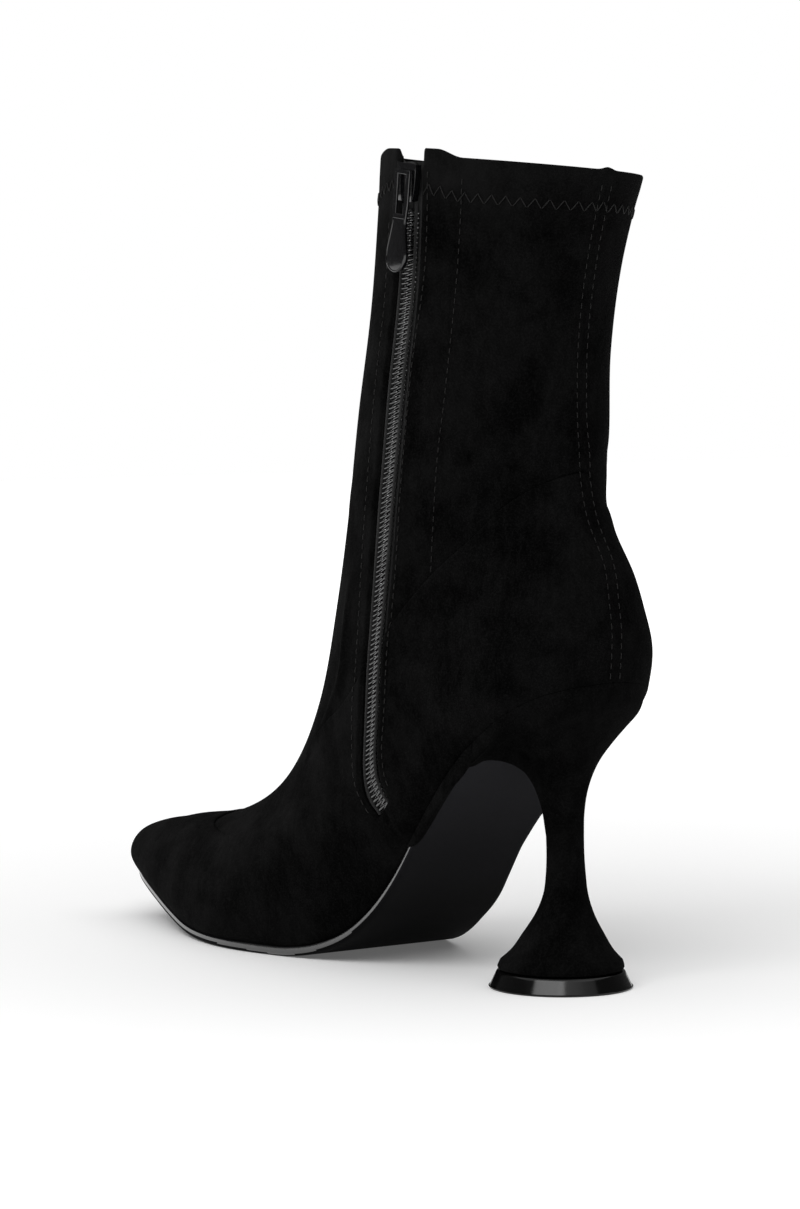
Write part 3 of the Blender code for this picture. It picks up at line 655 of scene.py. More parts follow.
def microsuede(name, dark, light):
    """Brushed microsuede: a short, dull nap that lies in lighter and darker patches and takes no gloss."""
    finish, tree, shader = new_finish(name)
    place = add_node(tree, "ShaderNodeTexCoord").outputs["Object"]
    patches = add_node(tree, "ShaderNodeTexNoise", {"Vector": place, "Scale": per_mm(17), "Detail": 3.0})
    strokes_place = add_node(tree, "ShaderNodeMapping", {"Vector": place, "Scale": (1.0, 1.0, 0.5)})
    strokes = add_node(tree, "ShaderNodeTexNoise",
                       {"Vector": strokes_place.outputs["Vector"], "Scale": per_mm(2.4), "Detail": 2.0})
    # The real fibres are about 0.05 mm wide; they are drawn 0.6 mm wide so that they show
    fibres = add_node(tree, "ShaderNodeTexNoise", {"Vector": place, "Scale": per_mm(0.6), "Detail": 3.0,
                                                   "Roughness": 0.7})
    lie = add_node(tree, "ShaderNodeMapRange",
                   {"Value": patches.outputs["Fac"], "From Min": 0.40, "From Max": 0.62})
    brushed = add_node(tree, "ShaderNodeMapRange",
                       {"Value": strokes.outputs["Fac"], "From Min": 0.34, "From Max": 0.68})
    tips = add_node(tree, "ShaderNodeMapRange",
                    {"Value": fibres.outputs["Fac"], "From Min": 0.45, "From Max": 0.68})
    nap = add_node(tree, "ShaderNodeMath", {0: lie.outputs["Result"], 1: 0.35}, operation="MULTIPLY")
    nap = add_node(tree, "ShaderNodeMath", {0: brushed.outputs["Result"], 1: 0.20, 2: nap.outputs["Value"]},
                   operation="MULTIPLY_ADD")
    nap = add_node(tree, "ShaderNodeMath", {0: tips.outputs["Result"], 1: 0.45, 2: nap.outputs["Value"]},
                   operation="MULTIPLY_ADD")
    # The turned-in collar is double; the suede's colour is drawn lighter towards its top band, from 222 mm up
    height = add_node(tree, "ShaderNodeSeparateXYZ", {"Vector": place})
    collar = add_node(tree, "ShaderNodeMapRange", {"Value": height.outputs["Z"], "From Min": 222 * MM,
                                                   "From Max": 234 * MM, "To Min": 0.0, "To Max": 0.45})
    nap = add_node(tree, "ShaderNodeMath", {0: nap.outputs["Value"], 1: collar.outputs["Result"]},
                   operation="ADD")
    shade = add_node(tree, "ShaderNodeMix",
                     {"Factor": nap.outputs["Value"], "A": colour(dark), "B": colour(light)},
                     data_type="RGBA")
    pile = add_node(tree, "ShaderNodeBump",
                    {"Height": fibres.outputs["Fac"], "Strength": 0.55, "Distance": 0.4 * MM})
    pile = add_node(tree, "ShaderNodeBump", {"Height": strokes.outputs["Fac"], "Strength": 0.25,
                                             "Distance": 0.6 * MM, "Normal": pile.outputs["Normal"]})
    feed(tree, shader, {"Base Color": shade.outputs["Result"], "Normal": pile.outputs["Normal"],
                        "Roughness": 0.95, "Specular IOR Level": 0.01, "Sheen Weight": 0.015,
                        "Sheen Roughness": 0.45, "Sheen Tint": colour("#8c8c8c")})
    return finish


def finish_piece(piece, finish, body, slot, *nodes):
    """Gives a piece its finish and the body it rides on, and hides the solids it stands for; slot is not
    used.
    """
    piece.data.materials.clear()
    piece.data.materials.append(finish)
    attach(piece, body)
    if nodes:
        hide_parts(*nodes)


upper_suede = microsuede("black_microsuede", "#020202", "#111111")
finish_piece(upper, upper_suede, "boot", "upper_suede", "upper")

# Lining
# A thin black polyester knit is glued to the inside of the suede, from the sole up to the collar.
# The collar is turned in over it, so it shows only from above.
LINING_FRONT = 1.25
LINING_BACK = 1.8
LINING_PANEL_ROWS = np.linspace(0.03, 1, 26)
LINING_SHAFT_ROWS = np.linspace(0.04, 1, 30)
LINING_HEM_ROWS = np.linspace(0.1, 0.9, 5)
lining_share, lining_angle = upper_grid(LINING_PANEL_ROWS, LINING_SHAFT_ROWS, LINING_HEM_ROWS)
lining_middle = upper_point(lining_share, lining_angle)
lining_normal = upper_normal(lining_share, lining_angle)
lining = slotted_tube("lining_knit", lining_share)
lining_lift = collar_lift(lining_share, lining_angle)[..., None] * np.array([0, 0, 1])
draw_over_last(lining, lining_middle - lining_normal * LINING_FRONT + lining_lift,
               lining_middle - lining_normal * LINING_BACK + lining_lift)
smooth_faces(lining, degrees=50)
# Fine weft knit: dull and near black; its loops, 0.5 mm wide on the real one, are drawn 0.9 mm wide to show
lining_finish, tree, shader = new_finish("black_lining_knit")
place = add_node(tree, "ShaderNodeTexCoord").outputs["Object"]
ribs = add_node(tree, "ShaderNodeTexVoronoi", {"Vector": place, "Scale": per_mm(0.9)})
tint = add_node(tree, "ShaderNodeMix", {"Factor": ribs.outputs["Distance"], "A": colour("#161515"),
                                        "B": colour("#242322")}, data_type="RGBA")
loops = add_node(tree, "ShaderNodeBump",
                 {"Height": ribs.outputs["Distance"], "Strength": 0.5, "Distance": 0.3 * MM})
feed(tree, shader, {"Base Color": tint.outputs["Result"], "Normal": loops.outputs["Normal"],
                    "Roughness": 0.85})
finish_piece(lining, lining_finish, "boot", "upper_suede")

# Stitching
# Black polyester thread holds the seams: single rows beside the zip and down the side, two rows beside
# the back seam, and a zigzag that holds the turned-in collar.
THREAD = 0.34
STITCH = 1.9
STITCH_GAP = 0.9
ZIGZAG_DEPTH = 3.0
ZIGZAG_STEP = 2.1
ZIGZAG_EDGE = 5.9
THREAD_LIFT = 0.10
HEM_SKIN = -0.15
ZIP_REAR_ENDS = (0.20, 0.985)
ZIP_FRONT_ENDS = (0.19, 0.955)
SIDE_ENDS = (0.556, 0.985)
BACK_ENDS = (0.012, 0.985)
LINE_POINTS = 160
ROUND_POINTS = 400
ZigzagPoint = namedtuple("ZigzagPoint", "degrees share")
ZIGZAG_LINE = [
    ZigzagPoint(-264, 0.978), ZigzagPoint(-240, 0.974), ZigzagPoint(-180, 0.966), ZigzagPoint(-90, 0.960),
    ZigzagPoint(-20, 0.961), ZigzagPoint(0, 0.960), ZigzagPoint(33, 0.962), ZigzagPoint(59, 0.967),
    ZigzagPoint(95, 0.974),
]
zigzag_share = curve_through(ZIGZAG_LINE)


def skin_point(share, angle, lift):
    """Point over the outer skin of panels, shaft or hem."""
    rise = np.where(share > panel_top(share, angle), -PANEL_STEP / 2, PANEL_STEP / 2)
    rise = np.where(share > HEM_SHARE, HEM_SKIN, rise) * lap_height(angle)
    rise = rise + upper_relief(share, angle) + lift
    points = upper_point(share, angle) + upper_normal(share, angle) * rise[..., None]
    points[..., 2] += collar_lift(share, angle)
    return points


def line_lengths(points):
    """Length along a line at each of its points."""
    steps = np.linalg.norm(np.diff(points, axis=0), axis=1)
    return np.concatenate([[0], np.cumsum(steps)])


def even_stitches(share, angle):
    """Starts and ends of even stitches along a line on the upper, as pairs of shares and angles."""
    length = line_lengths(upper_point(share, angle))
    count = int(length[-1] / (STITCH + STITCH_GAP))
    starts = (np.arange(count) + 0.5) * length[-1] / count - STITCH / 2
    ends = starts + STITCH
    return (np.interp(starts, length, share), np.interp(starts, length, angle),
            np.interp(ends, length, share), np.interp(ends, length, angle))


def thread_bar(start, end, normal):
    """Points of short bars of thread between two rows of places: round sections that dip at both ends."""
    sides = 6
    along = np.array([0.0, 0.12, 0.5, 0.88, 1.0])
    swell = np.array([0.35, 0.9, 1.0, 0.9, 0.35])
    sink = np.array([-0.30, 0.0, 0.05, 0.0, -0.30])
    turns = np.arange(sides) / sides * 2 * np.pi
    forward = end - start
    forward = forward / np.linalg.norm(forward, axis=1, keepdims=True)
    across = np.cross(forward, normal)
    up = np.cross(across, forward)
    centre = start[:, None, :] + (end - start)[:, None, :] * along[:, None] + up[:, None, :] * sink[:, None]
    ring = (across[:, None, None, :] * np.cos(turns)[:, None] + up[:, None, None, :] * np.sin(turns)[:, None])
    points = centre[:, :, None, :] + ring * (swell * THREAD / 2)[:, None, None]
    faces = []
    for r in range(len(along) - 1):
        for c in range(sides):
            a = r * sides + c
            b = r * sides + (c + 1) % sides
            faces.append((a, b, b + sides, a + sides))
    faces.append(tuple(range(sides - 1, -1, -1)))
    faces.append(tuple(range((len(along) - 1) * sides, len(along) * sides)))
    return points.reshape(len(start), -1, 3), faces


def face_outwards(piece, merge=0.0, fill=False):
    """Merges doubled points and closes holes where asked, and turns all of a mesh's faces outwards."""
    select_only(piece)
    bpy.ops.object.mode_set(mode="EDIT")
    bpy.ops.mesh.select_all(action="SELECT")
    if merge:
        bpy.ops.mesh.remove_doubles(threshold=merge)
    if fill:
        bpy.ops.mesh.fill_holes(sides=0)
    bpy.ops.mesh.normals_make_consistent(inside=False)
    bpy.ops.object.mode_set(mode="OBJECT")


def stitched_rows(name, pairs):
    """One mesh of all the stitches between pairs of places on the upper."""
    share_a, angle_a, share_b, angle_b = [np.concatenate(column) for column in zip(*pairs)]
    normal = upper_normal((share_a + share_b) / 2, (angle_a + angle_b) / 2)
    start = skin_point(share_a, angle_a, THREAD_LIFT)
    end = skin_point(share_b, angle_b, THREAD_LIFT)
    points, faces = thread_bar(start, end, normal)
    count = points.shape[1]
    all_faces = [tuple(i + k * count for i in face) for k in range(len(points)) for face in faces]
    mesh = bpy.data.meshes.new(name)
    mesh.from_pydata(world(points.reshape(-1, 3)).tolist(), [], all_faces)
    piece = bpy.data.objects.new(name, mesh)
    bpy.context.scene.collection.objects.link(piece)
    face_outwards(piece)
    bpy.ops.object.shade_smooth()
    return piece


def up_the_boot(low, high, place):
    """A line up the upper whose angle follows from the share."""
    share = np.linspace(low, high, LINE_POINTS)
    return share, place(share)


def zigzag(first, last):
    """Strokes of the zigzag between two angles, as pairs of shares and angles."""
    angle = np.linspace(first, last, ROUND_POINTS)
    length = line_lengths(upper_point(zigzag_share(np.degrees(angle)), angle))
    count = int(length[-1] / ZIGZAG_STEP)
    corners = np.interp(np.arange(count + 1) * length[-1] / count, length, angle)
    share = zigzag_share(np.degrees(corners))
    climb = upper_point(share + SMALL_STEP, corners) - upper_point(share - SMALL_STEP, corners)
    height = ZIGZAG_DEPTH * 2 * SMALL_STEP / np.linalg.norm(climb, axis=1)
    share = share + np.where(np.arange(count + 1) % 2, 0.5, -0.5) * height
    return share[:-1], corners[:-1], share[1:], corners[1:]


stitch_lines = [
    up_the_boot(*ZIP_REAR_ENDS, lambda s: zip_angle(s, -zip_rear_stitch(s))),
    up_the_boot(*ZIP_FRONT_ENDS, lambda s: zip_angle(s, zip_front_stitch(s))),
    up_the_boot(*SIDE_ENDS, lambda s: np.radians(side_stitch(s))),
    up_the_boot(*BACK_ENDS, lambda s: BACK_STITCH / girth_rate(s, 0 * s)),
    up_the_boot(*BACK_ENDS, lambda s: -BACK_STITCH / girth_rate(s, 0 * s)),
]
straight = stitched_rows("stitch_rows", [even_stitches(*line) for line in stitch_lines])
zigzag_start = zip_angle(np.array([HEM_SHARE]), -ZIGZAG_EDGE)[0]
zigzag_end = zip_angle(np.array([HEM_SHARE]), ZIGZAG_EDGE)[0] - 2 * np.pi
crossed = stitched_rows("collar_zigzag", [zigzag(zigzag_start, zigzag_end)])

# Twisted polyester sewing thread, a little greyer and smoother than the suede, so it catches the light
thread_finish, tree, shader = new_finish("black_polyester_thread")
place = add_node(tree, "ShaderNodeTexCoord").outputs["Object"]
twist = add_node(tree, "ShaderNodeTexNoise", {"Vector": place, "Scale": per_mm(0.3)})
tint = add_node(tree, "ShaderNodeMix", {"Factor": twist.outputs["Fac"], "A": colour("#060606"),
                                        "B": colour("#151413")}, data_type="RGBA")
strands = add_node(tree, "ShaderNodeBump",
                   {"Height": twist.outputs["Fac"], "Strength": 0.4, "Distance": 0.2 * MM})
feed(tree, shader, {"Base Color": tint.outputs["Result"], "Normal": strands.outputs["Normal"],
                    "Roughness": 0.6, "Specular IOR Level": 0.2})
for piece in (straight, crossed):
    finish_piece(piece, thread_finish, "boot", "upper_suede")

# Zip tapes
# Two plain-woven black polyester tapes carry the coils. They are sewn behind the slot's edges, by the rows
# of stitches beside the zip, and meet under the coil.
TAPE_ENDS = (0.13, 0.995)
TAPE_WIDTH = 10.5
TAPE_FRONT = -2.4
TAPE_THICKNESS = 0.7
TAPE_ROWS = 120
TAPE_COLUMNS = 12


def zip_point(share, across, rise):
    """Point beside the zip line, at a height over the middle form."""
    angle = zip_angle(share, across)
    return upper_point(share, angle) + upper_normal(share, angle) * np.asarray(rise)[..., None]


def flat_grid(name, rows, columns):
    """A flat grid, two units wide and long."""
    deselect_all()
    bpy.ops.mesh.primitive_grid_add(x_subdivisions=columns - 1, y_subdivisions=rows - 1, size=2)
    piece = bpy.context.object
    piece.name = name
    return piece


def grid_places(piece, rows, columns):
    """Row, column and height of each vertex of a flat grid."""
    flat = vertex_points(piece)
    column = np.rint((flat[:, 0] + 1) / 2 * (columns - 1)).astype(int)
    row = np.rint((flat[:, 1] + 1) / 2 * (rows - 1)).astype(int)
    return row, column, flat[:, 2]


# Plain-woven polyester tape: fine dull ribs across its width, about 0.4 mm apart on the real tape and drawn
# about 1 mm apart so that they show
WEAVE_CELLS = (9.0, 200.0, 1.0)
weave, tree, shader = new_finish("black_woven_tape")
place = add_node(tree, "ShaderNodeTexCoord").outputs["UV"]
threads = add_node(tree, "ShaderNodeMapping", {"Vector": place, "Scale": WEAVE_CELLS})
ribs = add_node(tree, "ShaderNodeTexChecker", {"Vector": threads.outputs["Vector"], "Scale": 1.0,
                                               "Color1": colour("#060606"), "Color2": colour("#0f0f0f")})
cloth = add_node(tree, "ShaderNodeBump",
                 {"Height": ribs.outputs["Fac"], "Strength": 0.5, "Distance": 0.2 * MM})
feed(tree, shader, {"Base Color": ribs.outputs["Color"], "Normal": cloth.outputs["Normal"],
                    "Roughness": 0.85})

for node, side in (("zip_tape_front", 1), ("zip_tape_rear", -1)):
    tape = flat_grid(node.replace("zip", "woven"), TAPE_ROWS, TAPE_COLUMNS)
    row, column, _ = grid_places(tape, TAPE_ROWS, TAPE_COLUMNS)
    across = side * np.linspace(GAP / 2, TAPE_WIDTH, TAPE_COLUMNS)[::side]
    height = np.linspace(*TAPE_ENDS, TAPE_ROWS)[:, None]
    tape_points = zip_point(height + 0 * across, across + 0 * height, TAPE_FRONT + 0 * across)
    place_vertices(tape, tape_points[row, column])
    give_wall(tape, TAPE_THICKNESS * MM)
    smooth_faces(tape, degrees=40)
    finish_piece(tape, weave, "boot", "zip_weave", node)

# Zip coil
# Each tape carries a coil of black nylon monofilament, and the two coils' heads hook into each other.
# A row of sewing over each coil holds it to its tape and shows as a dull line beside the heads.
COIL_PITCH = 1.44
COIL_WIRE = 0.52
COIL_HEAD = 0.42
COIL_OUTER = 3.42
COIL_LEAN = 0.28
COIL_DEPTH = 0.86
COIL_MIDDLE = -0.95
COIL_POINTS = 14
CHAIN_ENDS = (0.157, 0.966)
SEWING_PLACE = 3.0
SEWING_WIDTH = 0.95
SEWING_RISE = -0.5


def curve_piece(name, lines, closed, **settings):
    """A mesh made from a curve along lines of points in metres."""
    curve = bpy.data.curves.new(name, "CURVE")
    for setting, value in settings.items():
        setattr(curve, setting, value)
    for line in lines:
        spline = curve.splines.new("POLY")
        spline.points.add(len(line) - 1)
        for point, place in zip(spline.points, line):
            point.co = (*place, 1.0)
        spline.use_cyclic_u = closed
    piece = bpy.data.objects.new(name, curve)
    bpy.context.scene.collection.objects.link(piece)
    select_only(piece)
    bpy.ops.object.convert(target="MESH")
    return bpy.context.object


def wire(name, points, thickness, resolution):
    """A round wire along points in millimetres."""
    return curve_piece(name, [world(points)], False, dimensions="3D", bevel_depth=thickness / 2 * MM,
                       bevel_resolution=resolution, use_fill_caps=True)


def join(name, pieces):
    """Joins pieces into one."""
    deselect_all()
    for piece in pieces:
        piece.select_set(True)
    bpy.context.view_layer.objects.active = pieces[0]
    bpy.ops.object.join()
    joined = bpy.context.object
    joined.name = name
    joined.data.name = name
    return joined


chain_share = np.linspace(*CHAIN_ENDS, ROUND_POINTS)
chain_length = line_lengths(zip_point(chain_share, 0 * chain_share, 0 * chain_share))
turns = int(chain_length[-1] / COIL_PITCH) - 1
coils = []
sewing = []
for side in (1, -1):
    phase = np.arange(turns * COIL_POINTS) / COIL_POINTS
    climb = np.floor(phase) + np.interp(phase % 1, [0, 0.5, 1], [0, COIL_LEAN, 1])
    travel = (climb + (0.5 if side > 0 else 0.0)) * COIL_PITCH
    share_at = np.interp(travel, chain_length, chain_share)
    swing = -np.cos(2 * np.pi * phase)
    across = side * ((COIL_OUTER - COIL_HEAD) / 2 + (COIL_OUTER + COIL_HEAD) / 2 * swing)
    rise = COIL_MIDDLE + COIL_DEPTH / 2 * np.sin(2 * np.pi * phase)
    coils.append(wire("coil_wire", zip_point(share_at, across, rise), COIL_WIRE, 1))
    cord_share = np.linspace(*CHAIN_ENDS, LINE_POINTS)
    row = zip_point(cord_share, side * SEWING_PLACE + 0 * cord_share, SEWING_RISE + 0 * cord_share)
    sewing.append(wire("coil_sewing", row, SEWING_WIDTH, 2))
coil = join("nylon_coil", coils)
smooth_faces(coil, degrees=60)
sewing = join("coil_sewing", sewing)
smooth_faces(sewing, degrees=60)
finish_piece(sewing, weave, "boot", "zip_weave")
# Drawn nylon monofilament: smooth, with a soft shine on every turn
nylon, tree, shader = new_finish("black_nylon_monofilament")
place = add_node(tree, "ShaderNodeTexCoord").outputs["Object"]
draw = add_node(tree, "ShaderNodeTexNoise", {"Vector": place, "Scale": per_mm(0.8)})
tint = add_node(tree, "ShaderNodeMix", {"Factor": draw.outputs["Fac"], "A": colour("#050505"),
                                        "B": colour("#0a0a0b")}, data_type="RGBA")
feed(tree, shader, {"Base Color": tint.outputs["Result"], "Roughness": 0.16, "IOR": 2.1})
finish_piece(coil, nylon, "boot", "zip_nylon", "zip_coil")

# Zip slider
# A die-cast zinc slider, lacquered black: a flat shield over the coil with turned-down flanges, a neck
# between the coils, and a bridge on top that the pull hangs from.
SLIDER_SHARE = 0.981
SLIDER_LIFT = 0.3
SLIDER_PLATE = (9.0, 11.0, 1.1)
SLIDER_TAPER = 0.74
SLIDER_EDGE = 0.22
PLATE_CUTS = 5
FLANGE = (0.9, 1.3)
FLANGE_SHORTER = 0.6
FLANGE_INSET = 0.1
FLANGE_OVERLAP = 0.3
BRIDGE_SHIFT = 2.9
BRIDGE = (2.3, 5.2, 3.0)
BRIDGE_STRAP = 0.8
BRIDGE_SUNK = 0.2
BRIDGE_STEPS = 14
NECK = (2.6, 4.6, 2.2)
NECK_SHIFT = 0.4
NECK_DROP = 0.8
POINT_MERGE = 0.000001


def slider_frame():
    """Place of the slider on the zip: X across it, Y up along it and Z outwards."""
    share = SLIDER_SHARE + np.array([-1, 0, 1]) * SMALL_STEP
    line = world(zip_point(share, 0 * share, 0 * share))
    out = Vector(world(zip_point(share[1:2], np.zeros(1), np.ones(1)))[0] - line[1]).normalized()
    up = Vector(line[2] - line[0])
    up = (up - out * up.dot(out)).normalized()
    place = Matrix((up.cross(out), up, out)).transposed().to_4x4()
    place.translation = Vector(line[1])
    return place


def block(size, centre):
    """A box of millimetre sizes about a centre, with its scale applied."""
    deselect_all()
    bpy.ops.mesh.primitive_cube_add(size=1.0, location=Vector(centre) * MM, scale=Vector(size) * MM)
    bpy.ops.object.transform_apply(location=True, rotation=True, scale=True)
    return bpy.context.object


def cut_block(size, centre):
    """A box cut into small faces, so that it can be narrowed smoothly."""
    piece = block(size, centre)
    bpy.ops.object.mode_set(mode="EDIT")
    bpy.ops.mesh.select_all(action="SELECT")
    bpy.ops.mesh.subdivide(number_cuts=PLATE_CUTS)
    bpy.ops.object.mode_set(mode="OBJECT")
    return piece


def round_edges(piece, width, segments):
    """Bevels a piece's edges and applies the bevel."""
    bevel = piece.modifiers.new("edges", "BEVEL")
    bevel.width = width * MM
    bevel.segments = segments
    bevel.limit_method = "ANGLE"
    bpy.context.view_layer.objects.active = piece
    bpy.ops.object.modifier_apply(modifier=bevel.name)


def unite(piece, others):
    """Joins solids that overlap into one closed solid."""
    for other in others:
        union = piece.modifiers.new("union", "BOOLEAN")
        union.operation = "UNION"
        union.object = other
        bpy.context.view_layer.objects.active = piece
        bpy.ops.object.modifier_apply(modifier=union.name)
        bpy.data.objects.remove(other, do_unlink=True)


def narrow_below(piece, length, factor):
    """Narrows a piece towards its lower end."""
    for vertex in piece.data.vertices:
        down = 0.5 - vertex.co.y / (length * MM)
        vertex.co.x *= 1 + (factor - 1) * down * down


plate_top = SLIDER_LIFT + SLIDER_PLATE[2]
plate = cut_block(SLIDER_PLATE, (0, 0, SLIDER_LIFT + SLIDER_PLATE[2] / 2))
flange_size = (FLANGE[0], SLIDER_PLATE[1] - FLANGE_SHORTER, FLANGE[1])
flange_side = (SLIDER_PLATE[0] - FLANGE[0] - FLANGE_INSET) / 2
flange_height = SLIDER_LIFT + FLANGE_OVERLAP - FLANGE[1] / 2
flanges = [cut_block(flange_size, (side * flange_side, 0, flange_height)) for side in (1, -1)]
for piece in (plate, *flanges):
    narrow_below(piece, SLIDER_PLATE[1], SLIDER_TAPER)
neck = block(NECK, (0, BRIDGE_SHIFT + NECK_SHIFT, SLIDER_LIFT - NECK_DROP))
bridge_foot = (plate_top - BRIDGE_SUNK) * MM
deselect_all()
bpy.ops.mesh.primitive_plane_add(size=1.0)
bridge = bpy.context.object
half_span = (BRIDGE[1] - BRIDGE_STRAP) / 2
bridge.data.transform(Matrix.Translation((0, half_span * MM, bridge_foot))
                      @ Matrix.Diagonal((BRIDGE[0] * MM, BRIDGE_STRAP * MM, 1.0, 1.0)))
bpy.ops.object.mode_set(mode="EDIT")
bpy.ops.mesh.select_all(action="SELECT")
bpy.ops.mesh.spin(steps=BRIDGE_STEPS, angle=math.pi, center=(0, 0, bridge_foot), axis=(1, 0, 0))
bpy.ops.object.mode_set(mode="OBJECT")
face_outwards(bridge, merge=POINT_MERGE)
stretch = (BRIDGE[2] + BRIDGE_SUNK) / (half_span + BRIDGE_STRAP / 2)
for vertex in bridge.data.vertices:
    vertex.co.z = bridge_foot + (vertex.co.z - bridge_foot) * stretch
    vertex.co.y += BRIDGE_SHIFT * MM
unite(plate, [*flanges, neck, bridge])
round_edges(plate, SLIDER_EDGE, segments=2)
slider = plate
slider.name = "zip_slider_body"
slider.data.name = slider.name
slider.data.transform(slider_frame())
smooth_faces(slider, degrees=35)
# Gloss black lacquer over cast zinc: deep black with sharp highlights and slightly worn edges
lacquer, tree, shader = new_finish("black_lacquered_zinc")
place = add_node(tree, "ShaderNodeTexCoord").outputs["Object"]
wear = add_node(tree, "ShaderNodeTexNoise", {"Vector": place, "Scale": per_mm(1.5), "Detail": 4.0})
rough = add_node(tree, "ShaderNodeMapRange", {"Value": wear.outputs["Fac"], "To Min": 0.11, "To Max": 0.17})
tint = add_node(tree, "ShaderNodeMix", {"Factor": wear.outputs["Fac"], "A": colour("#050506"),
                                        "B": colour("#09090a")}, data_type="RGBA")
feed(tree, shader, {"Base Color": tint.outputs["Result"], "Roughness": rough.outputs["Result"],
                    "Coat Weight": 0.3, "Coat Roughness": 0.06})
finish_piece(slider, lacquer, "boot", "lacquered_metal", "zip_slider")

# Zip pull
# A cast pull tab hangs from the slider's bridge: a narrow frame round a window above, and below it a
# tapered tongue with a fine raised rim. Its face is left bare.
PULL_LENGTH = 28.8
PULL_BAR = 1.2
PULL_WINDOW = (3.8, 12.0)
PULL_WIDTHS = (7.0, 6.0, 9.0)
PULL_THICKNESS = 0.9
PULL_EDGE = 0.2
PULL_NECK_DROP = 2.0
PULL_SHOULDER = 5.0
PULL_SIDE_POINTS = 24
PULL_TIP_POINTS = 14
PULL_RIM = 0.5
RIM_INSET = 0.1
RIM_SUNK = 0.05
TONGUE_DROP = 1.2
OUTLINE_MERGE = 0.000002
PULL_LEAN = 0.03
pull_joint = frame["joints"][0]
bar_direction = -Vector(pull_joint["axis"]).normalized()
upright = Vector((0, 0, 1)) - bar_direction * bar_direction.z
upright.normalize()
pull_frame = Matrix((bar_direction, upright, bar_direction.cross(upright))).transposed().to_4x4()
pull_frame.translation = Vector(pull_joint["pos_m"])


def pull_half_width(y):
    """Half of the pull's width at a height below its bar."""
    half_top, half_neck, half_tip = [w / 2 for w in PULL_WIDTHS]
    neck = -PULL_WINDOW[1] - PULL_NECK_DROP
    low = -PULL_LENGTH + half_tip
    above = half_neck + (half_top - half_neck) * smooth(y, neck, neck + PULL_SHOULDER)
    below = half_neck + (half_tip - half_neck) * smooth(-y, -neck, -low)
    return np.where(y > neck, above, below)


def pull_side(top, inset):
    """Right side of the pull's outline from a height down to its tip, then the round tip to the middle."""
    half_tip = PULL_WIDTHS[2] / 2 - inset
    low = -PULL_LENGTH + PULL_WIDTHS[2] / 2
    heights = np.linspace(top, low, PULL_SIDE_POINTS)
    turns = np.linspace(0, np.pi / 2, PULL_TIP_POINTS)[1:]
    side = [(x - inset, y) for x, y in zip(pull_half_width(heights), heights)]
    tip = [(half_tip * np.cos(a), low - half_tip * np.sin(a)) for a in turns]
    return side + tip


def closed_outline(top, inset):
    """Whole outline of the pull from a height down."""
    side = pull_side(top, inset)
    return side + [(-x, y) for x, y in side[-2::-1]]


def flat_shape(name, outlines, thickness, edge):
    """A flat plate with rounded edges from outlines in millimetres."""
    lines = [[(x * MM, y * MM, 0.0) for x, y in outline] for outline in outlines]
    piece = curve_piece(name, lines, True, dimensions="2D", fill_mode="BOTH",
                        extrude=(thickness / 2 - edge) * MM, bevel_depth=edge * MM, bevel_resolution=2,
                        offset=-edge * MM)
    face_outwards(piece, merge=OUTLINE_MERGE)
    return piece


half_window = PULL_WINDOW[0] / 2
window = [(half_window, -PULL_BAR / 2), (half_window, -PULL_WINDOW[1]),
          (-half_window, -PULL_WINDOW[1]), (-half_window, -PULL_BAR / 2)]
tab = flat_shape("zip_pull_tab", [closed_outline(PULL_BAR / 2, 0.0), window], PULL_THICKNESS, PULL_EDGE)
tongue_top = -PULL_WINDOW[1] - TONGUE_DROP
rim_height = PULL_THICKNESS / 2 - RIM_SUNK
rim_outline = closed_outline(tongue_top, PULL_RIM / 2 + RIM_INSET)
rim_line = [(x * MM, y * MM, rim_height * MM) for x, y in rim_outline]
rim = curve_piece("pull_rim", [rim_line], True, dimensions="3D", bevel_depth=PULL_RIM / 2 * MM,
                  bevel_resolution=2)
pull = join("zip_pull_tab", [tab, rim])
for vertex in pull.data.vertices:
    below = max(-vertex.co.y - PULL_WINDOW[1] * MM, 0.0)
    vertex.co.z += PULL_LEAN * below * (vertex.co.z > 0)
pull.data.transform(pull_frame)
smooth_faces(pull, degrees=40)
finish_piece(pull, lacquer, "pull", "lacquered_metal", "zip_pull")

# Insole
# A thin foam sheet covered in smooth black coated lining. It is cut to the last's sole and glued on the
# sole board, from heel seat to toe, so it shows only from above.
INSOLE_THICKNESS = 2.0
INSOLE_TIP = 0.16
INSOLE_INSET = 2.4
INSOLE_ROWS = 90
INSOLE_STEPS = [0.0, 0.3, 0.8, 1.6]
INSOLE_ROUND = 1.2
EDGE_MOST = 0.48
INNER_COLUMNS = 7


def sole_rim(angles, outset):
    """Points on the upper's lower edge, moved outwards in plan, for the inner and the outer side."""
    sides = []
    for side in (1, -1):
        rim = upper_point(0.0, side * angles)
        along = way_round(0.0, side * angles)
        out = np.stack([along[:, 1], -along[:, 0]], -1)
        out /= np.linalg.norm(out, axis=1, keepdims=True)
        rim[:, :2] += out * outset
        sides.append(rim)
    return sides


def angle_at(f):
    """Angle at which the upper's lower edge passes a place along the foot."""
    first = RINGS[0]
    return np.arccos(1 - 2 * (f - first.back_f) / (first.front_f - first.back_f))


def edge_places(width, steps):
    """Shares of the way across a sheet of each width, closer together towards both edges."""
    near = np.minimum(np.array(steps)[None, :] / width[:, None], EDGE_MOST)
    inner = np.linspace(0, 1, INNER_COLUMNS + 2)[None, 1:-1]
    middle = near[:, -1:] + (1 - 2 * near[:, -1:]) * inner
    return np.concatenate([near, middle, 1 - near[:, ::-1]], axis=1)


